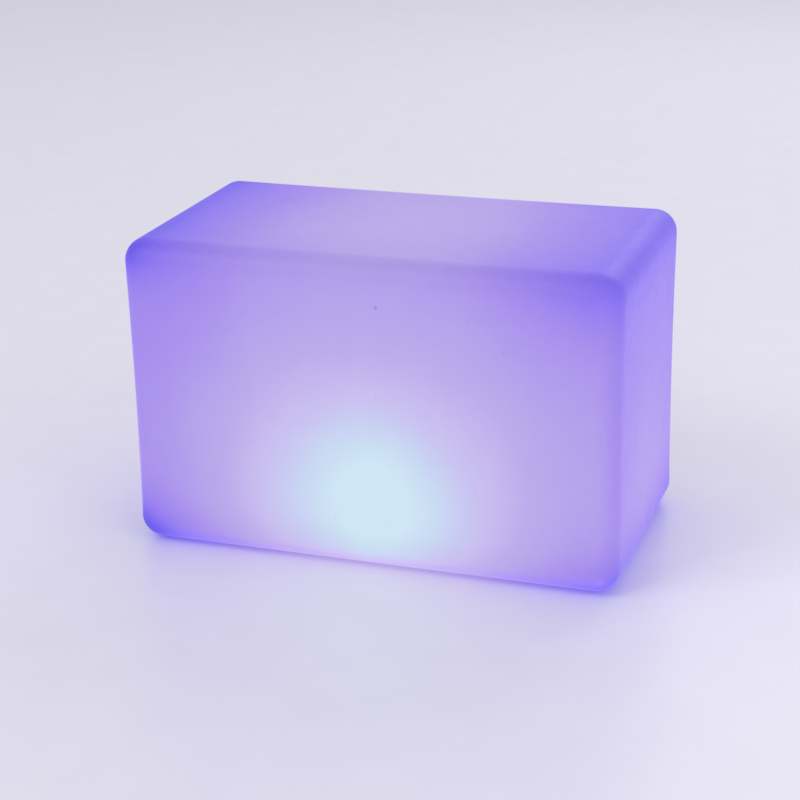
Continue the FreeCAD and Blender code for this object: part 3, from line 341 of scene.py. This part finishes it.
def moulded(points):
    """Draws the sides in towards mid height, sinks the top along its middle and adds a slow wave.

    With t from -1 at the bottom to 1 at the top, the plan shrinks by the side bow times 1 - t squared.
    The top sinks by the sag times 1 - (x / half length) squared. Each side and the
    top also dish by up to the face dish at their middle. All of it goes inward.
    """
    x, y, z = points.T
    middle = (SHELL_HIGH + SHELL_LOW) / 2
    t = (z - middle) / (SHELL_HIGH - middle)
    bow = np.clip(1 - t**2, 0, 1)
    across = np.clip(1 - (x / HALF_LENGTH) ** 2, 0, 1)
    along = np.clip(1 - (y / HALF_WIDTH) ** 2, 0, 1)
    wave_x, wave_y, wave_z = WAVE_TURNS
    swell = np.sin(wave_x * x + 2) * np.sin(wave_y * y + 1) * np.sin(wave_z * z)
    wave = SURFACE_WAVE * (1 + swell) / 2
    far = np.clip((z - POCKET_ROOF - 2 * WALL) / BOW_START, 0, 1)
    in_x = (SIDE_BOW * bow + FACE_DISH * bow * along * (np.abs(x) > HALF_LENGTH / 2) + wave) * far
    in_y = (SIDE_BOW * bow + FACE_DISH * bow * across + wave) * far
    upper = np.clip(t, 0, 1) ** 2
    sink = (TOP_SAG * across + FACE_DISH * across * along + wave) * upper
    return np.stack([x * (1 - in_x / HALF_LENGTH), y * (1 - in_y / HALF_WIDTH), z - sink], 1)


def lamp_light(points, normals):
    """How bright each place of the wall shows, from about -0.3 to about 1.1.

    Below DIMMEST and above 1 the ramp keeps its end colours.

    Direct light falls as the square of the distance, times the cosine at each flat wall. On the
    rounded edges it is the mean of the walls that meet there, weighed by the squares of the normal's
    parts. Reflected light is even in the middle, and weaker towards the short ends. Their sum is
    raised to a power. Then losses are taken off: on the top, the ends and the underside, halfway
    round the lower edge, towards the bottom of the sides, towards the corners, which is the largest,
    and a small one at one corner. The losses follow what the photograph shows. Those on the top and
    the ends are painted shade that offsets the studio lamps there. Those on the underside, round the
    lower edge and towards the bottom of the sides are painted shade where the lower rounding faces
    away from the light. The losses towards the corners and at the one corner have no known cause.
    """
    ray = np.abs(points - np.array(LAMP_PLACE))
    squared = (ray**2).sum(1)
    weights = normals**2 / (normals**2).sum(1)[:, None]
    flats = ray * HALF_WIDTH**2 / squared[:, None] ** 1.5
    direct = (flats * weights).sum(1)
    along = points[:, 0] / HALF_LENGTH
    z = points[:, 2]
    reach = np.exp(-(along * HALF_LENGTH / REFLECTED_REACH) ** 4)
    ends = END_REFLECTED * (1 + END_LEAN * along) * np.clip(1 - ((z - END_HEIGHT) / END_HEIGHT) ** 2, 0, 1)
    ends = ends * (1 - weights[:, 0]) * (1 - reach)
    shown = (np.clip(direct, 0, MOST_DIRECT) + REFLECTED * reach + ends) ** LIGHT_GAMMA
    downward = weights[:, 2] * (z < SHELL_HIGH / 2)
    upward = weights[:, 2] * (z > SHELL_HIGH / 2)
    # painted shade on the top and the ends, against the studio lamps' light there
    shown -= upward * (TOP_LOSS + TOP_END_LOSS * along**2) + weights[:, 0] * END_LOSS
    # painted shade on faces that look down and halfway round the lower edge
    shown -= downward * UNDER_LOSS + ROUNDING_LOSS * 4 * downward * (1 - downward)
    corner = along**6 * (1 - CORNER_LEAN * along)
    near_top = np.clip(1 - (SHELL_HIGH - z) / CORNER_FALL_HIGH, 0, 1) ** 2
    near_bottom = np.clip(1 - (z - SHELL_LOW) / CORNER_FALL_LOW, 0, 1) ** 2
    spared = 1 - UNDER_SPARED * downward
    high_loss = HIGH_CORNER_LOSS * near_top * (1 - weights[:, 2] / 2)
    low_loss = LOW_CORNER_LOSS * near_bottom * spared
    shown -= corner * (high_loss + low_loss)
    # painted shade towards the bottom of the sides
    shown -= EDGE_LOSS * np.clip(1 - (z - SHELL_LOW) / EDGE_FALL, 0, 1) ** 2 * spared
    away = np.linalg.norm(points - np.array(DIM_CORNER), axis=1)
    return shown - DIM_CORNER_LOSS * np.exp(-((away / DIM_CORNER_SIZE) ** 2))


def shell():
    """The shell as one closed surface: its rows carried round the outline, with a pole at each end."""
    core, way = outline()
    angle = np.arctan2(core[:, 1] + EDGE_RADIUS * way[:, 1], core[:, 0] + EDGE_RADIUS * way[:, 0])
    circle = np.stack([np.cos(angle), np.sin(angle)], 1)
    rows = shell_rows()
    share, reach, round_share, radius, height, out, up = (rows[:, i, None, None] for i in range(7))
    plan = share * core + reach * way + round_share * radius * circle
    levels = np.broadcast_to(height, plan.shape[:2] + (1,))
    points = np.concatenate([plan, levels], 2)
    normals = np.concatenate([out * way, np.broadcast_to(up, levels.shape)], 2)
    count, columns = plan.shape[:2]
    flat = points.reshape(-1, 3)
    poles = np.array([[0, 0, SHELL_HIGH], [0, 0, SHELL_HIGH - WALL]])
    flat = np.concatenate([flat, poles])
    flat_normals = np.concatenate([normals.reshape(-1, 3), [[0, 0, 1], [0, 0, 1]]])
    faces = grid_faces(count, columns).tolist()
    top, inside = len(flat) - 2, len(flat) - 1
    last = (count - 1) * columns
    for c in range(columns):
        after = (c + 1) % columns
        faces.append([top, c, after])
        faces.append([inside, last + after, last + c])
    thing = mesh_object("block_shell", moulded(flat), faces)
    light = thing.data.attributes.new("lamp_light", "FLOAT", "POINT")
    light.data.foreach_set("value", lamp_light(flat, flat_normals).astype(np.float32))
    edge = thing.data.attributes.new("edge", "FLOAT", "POINT")
    rounding = 4 * np.abs(flat_normals[:, 2]) * np.linalg.norm(flat_normals[:, :2], axis=1)
    corner = np.concatenate([np.tile(np.abs(way[:, 0] * way[:, 1]), count) * 4, [0, 0]])
    edge.data.foreach_set("value", np.clip(rounding / 2 + corner / 2, 0, 1).astype(np.float32))
    return thing


# --- Materials ------------------------------------------------------------------------------------


def polyethylene():
    """Rotomoulded LLDPE, satin: a painted violet glow that pales near the lamp, also painted into the base
    colour, a soft orange peel, dark specks.
    """
    material, tree = new_material("rotomoulded_polyethylene")
    place = object_place(tree)
    light = add(tree, "Attribute", {"attribute_name": "lamp_light"}, "Fac")
    edge = add(tree, "Attribute", {"attribute_name": "edge"}, "Fac")
    cloud = noise(tree, place, 90 * MM, 2.0)
    mottle = noise(tree, place, 14 * MM, 4.0, 0.6)
    streak_place = add(tree, "Mapping", {"Vector": place, "Scale": (1.0, 1.0, 0.12)})
    streak = noise(tree, streak_place, 22 * MM, 3.0)
    clouded = level(tree, cloud, 0.3, 0.7, -0.016, 0.016)
    uneven = maths(tree, "ADD", clouded, level(tree, mottle, 0.3, 0.7, -0.006, 0.006))
    uneven = maths(tree, "ADD", uneven, level(tree, streak, 0.3, 0.7, -0.005, 0.005))
    shown = maths(tree, "ADD", light, uneven)
    glow = ramp(tree, level(tree, shown, DIMMEST, 1.0, 0.0, 1.0), [
        ((light_level - DIMMEST) / (1 - DIMMEST), linear(code)) for light_level, code in GLOW_COLOURS.items()
    ])
    specks, *others = [speck(tree, place, centre, radius) for centre, radius in SPECKS]
    for other in others:
        specks = maths(tree, "ADD", specks, other)
    grit = add(tree, "TexVoronoi", {"Vector": place, "Scale": 1 / (38 * MM)}, "Distance")
    specks = maths(tree, "ADD", specks, level(tree, grit, 0.035, 0.015, 0.0, 0.25))
    # the painted glow with the dark specks mixed in: it is the emission colour, and a share of it is the
    # base colour
    specked_glow = mixed(tree, specks, glow, linear("#6f5bb8"))
    scuff = noise(tree, add(tree, "Mapping", {"Vector": place, "Scale": (0.35, 1.0, 1.0)}), 3 * MM, 5.0, 0.7)
    worn = maths(tree, "MULTIPLY", edge, level(tree, scuff, 0.55, 0.75, 0.0, 0.12))
    # painted light: the glow's colour, specks included, painted into the base colour at BASE_SHARE
    base_painted_glow_and_specks = mixed(tree, 1.0, specked_glow, (BASE_SHARE, BASE_SHARE, BASE_SHARE, 1), "MULTIPLY")
    body = mixed(tree, worn, base_painted_glow_and_specks, linear("#9d93c4"))
    peel = noise(tree, place, 2.2 * MM, 2.0)
    dents = noise(tree, place, 28 * MM, 2.0)
    height = maths(tree, "ADD", maths(tree, "MULTIPLY", peel, 0.3), dents)
    rough = maths(tree, "ADD", level(tree, mottle, 0.3, 0.7, 0.40, 0.48), worn)
    upward = axis_of(tree, add(tree, "NewGeometry", {}, "Normal"), "Z")
    shader = add(tree, "BsdfPrincipled", {
        "Base Color": body,
        "Roughness": rough,
        "IOR": 1.51,
        "Specular IOR Level": 0.22,
        "Emission Color": specked_glow,
        # painted light: the glow is made stronger on faces that look down, to make up for the studio lamps'
        # light they lack
        "Emission Strength": level(tree, upward, -0.8, 0.8, EMISSION_BELOW, EMISSION_ABOVE),
        "Normal": bump(tree, height, 0.25 * MM, 0.35),
    })
    close(tree, shader)
    return material


def speck(tree, place, centre, radius):
    """1 at a dark grain in the wall, 0 away from it. Centre and radius in millimetres."""
    middle = tuple(c * MM for c in centre)
    away = add(tree, "VectorMath", {"operation": "DISTANCE", 0: place, 1: middle}, "Value")
    return level(tree, away, radius * MM, radius * 0.3 * MM, 0.0, 0.55)


def plastic(name, colour, grain, roughness, ior=1.53, depth=0.04, mark=0.06):
    """Injection-moulded plastic: an even spark-eroded grain, faint flow clouds and handling marks."""
    material, tree = new_material(name)
    place = object_place(tree)
    clouds = noise(tree, place, 12 * MM, 3.0)
    texture = noise(tree, place, grain * MM, 3.0, 0.6)
    slanted = add(tree, "Mapping", {"Vector": place, "Rotation": (0, 0, 0.6), "Scale": (0.12, 1, 1)})
    marks = noise(tree, slanted, 1.6 * MM, 6.0)
    dark = tuple(c * 0.86 for c in linear(colour)[:3]) + (1.0,)
    base = mixed(tree, level(tree, clouds, 0.3, 0.7, 0.0, 0.6), linear(colour), dark)
    base = mixed(tree, level(tree, marks, 0.62, 0.78, 0.0, mark), base, linear("#8c8a86"))
    shader = add(tree, "BsdfPrincipled", {
        "Base Color": base,
        "Roughness": level(tree, marks, 0.3, 0.75, roughness - 0.05, roughness + 0.1),
        "IOR": ior,
        "Normal": bump(tree, texture, depth * MM, 0.5),
    })
    close(tree, shader)
    return material


def rubber(name, colour, roughness=0.72):
    """Pressed rubber or silicone: matt, with fine dust caught in it."""
    material, tree = new_material(name)
    place = object_place(tree)
    dust = noise(tree, place, 1.1 * MM, 5.0, 0.7)
    patch = noise(tree, place, 7 * MM, 2.0)
    base = mixed(tree, level(tree, dust, 0.58, 0.75, 0.0, 0.35), linear(colour), linear("#a9a6a0"))
    base = mixed(tree, level(tree, patch, 0.35, 0.7, 0.0, 0.25), base, linear("#3a3a3c"))
    shader = add(tree, "BsdfPrincipled", {
        "Base Color": base,
        "Roughness": level(tree, dust, 0.3, 0.7, roughness - 0.08, roughness + 0.08),
        "IOR": 1.43,
        "Sheen Weight": 0.15,
        "Normal": bump(tree, dust, 0.05 * MM, 0.4),
    })
    close(tree, shader)
    return material


def metal(name, colour, tint, roughness, stretch=(1, 1, 1), grain=0.5):
    """Bare or plated metal: fine lines, stretched by the given scale, and a tint that comes and goes."""
    material, tree = new_material(name)
    place = object_place(tree)
    lines = noise(tree, add(tree, "Mapping", {"Vector": place, "Scale": stretch}), grain * MM, 4.0, 0.6)
    stain = noise(tree, place, 5 * MM, 3.0)
    base = mixed(tree, level(tree, stain, 0.35, 0.7, 0.0, 0.7), linear(colour), linear(tint))
    shader = add(tree, "BsdfPrincipled", {
        "Base Color": base,
        "Metallic": 1.0,
        "Roughness": level(tree, lines, 0.3, 0.7, roughness - 0.07, roughness + 0.1),
        "Normal": bump(tree, lines, 0.02 * MM, 0.4),
    })
    close(tree, shader)
    return material


def circuit_board(name, mask, copper, pitch):
    """Glass-epoxy board under solder mask: copper tracks show through as paler, slightly raised bands."""
    material, tree = new_material(name)
    place = object_place(tree)
    tracks = add(tree, "TexBrick", {
        "Vector": place, "Scale": 1 / (pitch * MM), "Mortar Size": 0.012, "Mortar Smooth": 0.3,
        "Color1": (0, 0, 0, 1), "Color2": (0, 0, 0, 1), "Mortar": (1, 1, 1, 1),
        "Brick Width": 0.6, "Row Height": 0.25,
    }, "Fac")
    vias = add(tree, "TexVoronoi", {"Vector": place, "Scale": 1 / (4.2 * MM), "Randomness": 0.6}, "Distance")
    pads = level(tree, vias, 0.16, 0.13, 0.0, 1.0)
    weave = noise(tree, place, 0.8 * MM, 2.0)
    base = mixed(tree, tracks, linear(mask), linear(copper))
    base = mixed(tree, pads, base, linear("#b9b4a6"))
    base = mixed(tree, level(tree, weave, 0.4, 0.7, 0.0, 0.12), base, (0, 0, 0, 1))
    height = maths(tree, "ADD", tracks, pads)
    shader = add(tree, "BsdfPrincipled", {
        "Base Color": base,
        "Roughness": level(tree, weave, 0.3, 0.7, 0.26, 0.38),
        "IOR": 1.55,
        "Normal": bump(tree, height, 0.03 * MM, 0.6),
    })
    close(tree, shader)
    return material


def cell_sleeve():
    """Heat-shrunk PVC sleeve on a steel can: glossy blue with fine shrink lines, bare plated ends."""
    material, tree = new_material("shrunk_pvc_sleeve")
    place = object_place(tree)
    x = add(tree, "Math", {"operation": "ABSOLUTE", 0: axis_of(tree, place, "X")})
    bare = level(tree, x, 32.3 * MM, 32.5 * MM, 0.0, 1.0)
    lines = noise(tree, add(tree, "Mapping", {"Vector": place, "Scale": (0.08, 1, 1)}), 1.2 * MM, 4.0)
    sleeve = mixed(tree, level(tree, lines, 0.35, 0.7, 0.0, 0.5), linear("#2a62b4"), linear("#1d4a90"))
    shader = add(tree, "BsdfPrincipled", {
        "Base Color": mixed(tree, bare, sleeve, linear("#c9c6bf")),
        "Metallic": bare,
        "Roughness": level(tree, lines, 0.3, 0.7, 0.22, 0.34),
        "Normal": bump(tree, lines, 0.05 * MM, 0.4),
    })
    close(tree, shader)
    return material


def led_chip():
    """Moulded PPA package with a phosphor-filled window that glows."""
    material, tree = new_material("led_package")
    place = object_place(tree)
    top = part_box("led_chips")[1][2]
    facing = axis_of(tree, add(tree, "NewGeometry", {}, "Normal"), "Z")
    sunk = maths(tree, "LESS_THAN", axis_of(tree, place, "Z"), top - 0.15 * MM)
    window = maths(tree, "MULTIPLY", maths(tree, "GREATER_THAN", facing, 0.5), sunk)
    grain = noise(tree, place, 0.4 * MM, 3.0)
    phosphor = mixed(tree, level(tree, grain, 0.3, 0.7, 0.0, 0.5), linear("#e8d36a"), linear("#d8bd48"))
    base = mixed(tree, window, mixed(tree, grain, linear("#efece2"), linear("#d9d6cc")), phosphor)
    shader = add(tree, "BsdfPrincipled", {
        "Base Color": base,
        "Roughness": level(tree, grain, 0.3, 0.7, 0.35, 0.5),
        "Emission Color": mixed(tree, window, (0, 0, 0, 1), linear("#c7b4ff")),
        "Emission Strength": 1.0,
        "Normal": bump(tree, grain, 0.02 * MM, 0.3),
    })
    close(tree, shader)
    return material


def frosted_dome():
    """Frosted polycarbonate: lets light through evenly and looks like ground glass."""
    material, tree = new_material("frosted_polycarbonate")
    place = object_place(tree)
    frost = noise(tree, place, 0.6 * MM, 4.0, 0.7)
    haze = noise(tree, place, 16 * MM, 2.0)
    shader = add(tree, "BsdfPrincipled", {
        "Base Color": mixed(tree, haze, linear("#eef0f4"), linear("#dfe2ec")),
        "Roughness": level(tree, frost, 0.3, 0.7, 0.42, 0.55),
        "IOR": 1.585,
        "Transmission Weight": 0.55,
        "Normal": bump(tree, frost, 0.04 * MM, 0.5),
    })
    close(tree, shader)
    return material


def clear_pipe():
    """Polished clear polycarbonate rod with a faint moulding haze."""
    material, tree = new_material("clear_polycarbonate")
    haze = noise(tree, object_place(tree), 1.5 * MM, 2.0)
    shader = add(tree, "BsdfPrincipled", {
        "Base Color": mixed(tree, haze, linear("#f2f6f8"), linear("#dfe8ee")),
        "Roughness": level(tree, haze, 0.3, 0.7, 0.06, 0.14),
        "IOR": 1.585,
        "Transmission Weight": 0.8,
    })
    close(tree, shader)
    return material


def ribbon_cable():
    """Flat PVC ribbon: parallel cores show as rounded bands, the first of them red, with painted shade in
    the grooves between them.
    """
    material, tree = new_material("pvc_ribbon")
    place = object_place(tree)
    low, high = (corner[0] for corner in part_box("led_ribbon"))
    across = level(tree, axis_of(tree, place, "X"), low, high, 0.0, 7.0)
    band = add(tree, "Math", {"operation": "PINGPONG", 0: across, 1: 0.5})
    first = maths(tree, "LESS_THAN", across, 1.0)
    groove_relief_and_shade = level(tree, band, 0.0, 0.18, 0.0, 1.0)
    # painted shade: the grooves between the cores are drawn in a darker grey
    base = mixed(tree, groove_relief_and_shade, linear("#8f8d88"), mixed(tree, first, linear("#d8d6d0"), linear("#b3262b")))
    shader = add(tree, "BsdfPrincipled", {
        "Base Color": base,
        "Roughness": level(tree, noise(tree, place, 1 * MM), 0.3, 0.7, 0.3, 0.42),
        "Normal": bump(tree, groove_relief_and_shade, 0.15 * MM, 0.8),
    })
    close(tree, shader)
    return material


def finishes():
    """Each material slot of the record with its finish. The comments say what it gives the eye."""
    return {
        # warm grey white with an even matt grain and faint handling marks
        "white_abs": plastic("spark_eroded_white_abs", "#c3c2be", 0.35, 0.46, 1.53, 0.08, 0.22),
        # the same matt grain in a flat mid grey
        "grey_abs": plastic("spark_eroded_grey_abs", "#a2a3a4", 0.35, 0.5),
        # near black and smoother, so that edges catch a soft highlight
        "black_plastic": plastic("moulded_black_nylon", "#26262a", 0.3, 0.42, 1.53, 0.03, 0.15),
        # creamy, with a soft shine
        "connector_white": plastic("moulded_white_nylon", "#e2dccb", 0.3, 0.4),
        # dull charcoal that hardly shines
        "chip_black": plastic("moulded_epoxy", "#2b2b2e", 0.2, 0.55, 1.55, 0.02, 0.12),
        # dark, stony grey, rougher than plastic
        "ferrite": plastic("sintered_ferrite", "#47474a", 0.3, 0.6, 1.8, 0.04, 0.2),
        # a cloudy red bead with a soft shine
        "indicator_red": plastic("diffused_red_epoxy", "#d8432f", 0.4, 0.3),
        # pale, dry and coarse, with no shine
        "adhesive_tape": plastic("foam_tape", "#d8d4c6", 0.5, 0.7, 1.45, 0.08),
        # smooth red with a long highlight along the wire
        "lead_red": plastic("red_pvc_insulation", "#b5171b", 0.6, 0.34, 1.53, 0.02),
        # smooth black with a long highlight along the wire
        "lead_black": plastic("black_pvc_insulation", "#202022", 0.6, 0.34, 1.53, 0.02),
        # soft grey with dust in it, and a faint sheen at the edges
        "silicone_grey": rubber("pressed_grey_silicone", "#7c7f84", 0.55),
        # soft off white with dust in it, and a faint sheen at the edges
        "silicone_white": rubber("pressed_white_silicone", "#96958f", 0.5),
        # matt black that dust greys a little
        "rubber_black": rubber("moulded_black_rubber", "#2c2c2d"),
        # bright grey with a yellowish tint that comes and goes
        "steel_screw": metal("zinc_plated_steel", "#b9bcc0", "#c4bfa8", 0.32),
        # cool grey with fine lines along its height
        "stainless_screw": metal("turned_stainless_steel", "#c2c3c5", "#aeb0b3", 0.26, (1, 1, 0.2)),
        # dark grey with fine rolling lines along one way
        "spring_steel": metal("rolled_spring_steel", "#8f9398", "#74787e", 0.34, (1, 0.08, 1)),
        # warm grey strip with fine rolling lines along one way
        "nickel": metal("rolled_nickel", "#c9c3b8", "#b4aa9a", 0.28, (1, 0.08, 1)),
        # yellow metal with fine lines along its height
        "brass": metal("turned_brass", "#cfa556", "#b18636", 0.3, (1, 1, 0.15)),
        # pale grey with brushed lines along one way
        "aluminium": metal("brushed_aluminium", "#c9cacc", "#b7b9bc", 0.36, (0.05, 1, 1)),
        # clean pale grey with drawn lines up the can
        "capacitor_can": metal("drawn_aluminium_can", "#c6c8ca", "#b2b5b8", 0.25, (1, 1, 0.1)),
        # glossy green, with tracks paler and slightly raised
        "board_green": circuit_board("green_solder_mask", "#14532b", "#1f7a3f", 9),
        # glossy white, with tracks that barely show
        "board_white": circuit_board("white_solder_mask", "#e8e8e4", "#f3f3f0", 12),
        # glossy blue sleeve with bare metal at both ends
        "cell_sleeve": cell_sleeve(),
        # cream packages, each with a window that glows violet white
        "led_white": led_chip(),
        # like ground glass, with what is behind it blurred
        "frosted_polycarbonate": frosted_dome(),
        # clear rod with a faint haze
        "clear_polycarbonate": clear_pipe(),
        # flat band of rounded cores, the first one red, with painted shade in the grooves between them
        "ribbon_white": ribbon_cable(),
    }


def dress_nodes():
    """Gives every carried-over node the finish of its slot, where the table has one."""
    table = finishes()
    for part in frame["record"]["subparts"]:
        material = table.get(part["material_slot"])
        thing = NODES[part["node"]]
        if material is None:
            continue
        thing.data.materials.clear()
        thing.data.materials.append(material)


# --- Stage: floor, light and camera ---------------------------------------------------------------


def floor():
    """Pale floor that shows from above only and blocks no light, so that the underside can be seen."""
    reach = 40.0
    corners = [(-reach, -reach, 0), (reach, -reach, 0), (reach, reach, 0), (-reach, reach, 0)]
    mesh = bpy.data.meshes.new("floor")
    mesh.from_pydata(corners, [], [(0, 1, 2, 3)])
    thing = bpy.data.objects.new("floor", mesh)
    bpy.context.scene.collection.objects.link(thing)
    material, tree = new_material("pale_floor")
    grain = noise(tree, object_place(tree), 60 * MM, 3.0)
    paint = add(tree, "BsdfPrincipled", {
        "Base Color": mixed(tree, grain, linear("#e6e4ee"), linear("#e0deea")),
        "Roughness": 0.34,
    })
    below = add(tree, "NewGeometry", {}, "Backfacing")
    clear = add(tree, "BsdfTransparent", {})
    close(tree, add(tree, "MixShader", {0: below, 1: paint, 2: clear}))
    mesh.materials.append(material)
    thing.visible_shadow = False
    thing.visible_diffuse = False
    thing.visible_glossy = False


def area_light(name, place, size, power):
    """Square lamp that looks at a point near the block's middle."""
    lamp = bpy.data.lights.new(name, "AREA")
    lamp.size = size
    lamp.energy = power
    thing = bpy.data.objects.new(name, lamp)
    thing.location = place
    towards = Vector((0, 0, 0.15)) - Vector(place)
    thing.rotation_euler = towards.to_track_quat("-Z", "Y").to_euler()
    bpy.context.scene.collection.objects.link(thing)


def studio():
    """Even, pale surroundings and four large soft lamps: two in front, one behind and one below."""
    world = bpy.data.worlds.new("studio")
    bpy.context.scene.world = world
    world.use_nodes = True
    tree = world.node_tree
    tree.nodes.clear()
    path = tree.nodes.new("ShaderNodeLightPath")
    seen = maths(tree, "MAXIMUM", path.outputs["Is Camera Ray"], path.outputs["Is Transmission Ray"])
    lit = add(tree, "Background", {"Color": linear("#f1f0f6"), "Strength": 0.80})
    backdrop = add(tree, "Background", {"Color": linear("#e6e5ec"), "Strength": 1.0})
    out = tree.nodes.new("ShaderNodeOutputWorld")
    tree.links.new(add(tree, "MixShader", {0: seen, 1: lit, 2: backdrop}), out.inputs["Surface"])
    area_light("key", (-2.2, -2.6, 3.2), 2.4, 52)
    area_light("fill", (3.0, -1.6, 1.8), 2.6, 16)
    area_light("back", (0.6, 3.0, 2.4), 2.2, 22)
    area_light("under", (0.9, -1.1, -2.0), 1.2, 20)


def camera():
    """Camera at the photograph's viewing angle. Its place and turns were fitted to the block's outline."""
    place = Vector((0.6773, -1.9589, 0.9212))
    turn, tilt, roll = -0.33729, 0.35860, -0.020816
    ahead = Vector((math.sin(turn) * math.cos(tilt), math.cos(turn) * math.cos(tilt), -math.sin(tilt)))
    right = Vector((math.cos(turn), -math.sin(turn), 0))
    up = right.cross(ahead)
    right_rolled = right * math.cos(roll) + up * math.sin(roll)
    up_rolled = up * math.cos(roll) - right * math.sin(roll)
    data = bpy.data.cameras.new("camera")
    data.lens = 88.57
    data.sensor_width = 36.0
    data.clip_end = 200.0
    thing = bpy.data.objects.new("camera", data)
    axes = Matrix((right_rolled, up_rolled, -ahead)).transposed().to_4x4()
    thing.matrix_world = Matrix.Translation(place) @ axes
    bpy.context.scene.collection.objects.link(thing)
    bpy.context.scene.camera = thing


def main():
    """Builds the scene."""
    camera()
    dress_nodes()
    skin = shell()
    skin.data.materials.append(polyethylene())
    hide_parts("shell")
    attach(skin, BODY)
    floor()
    studio()
    bpy.context.scene.view_settings.view_transform = "Standard"


main()
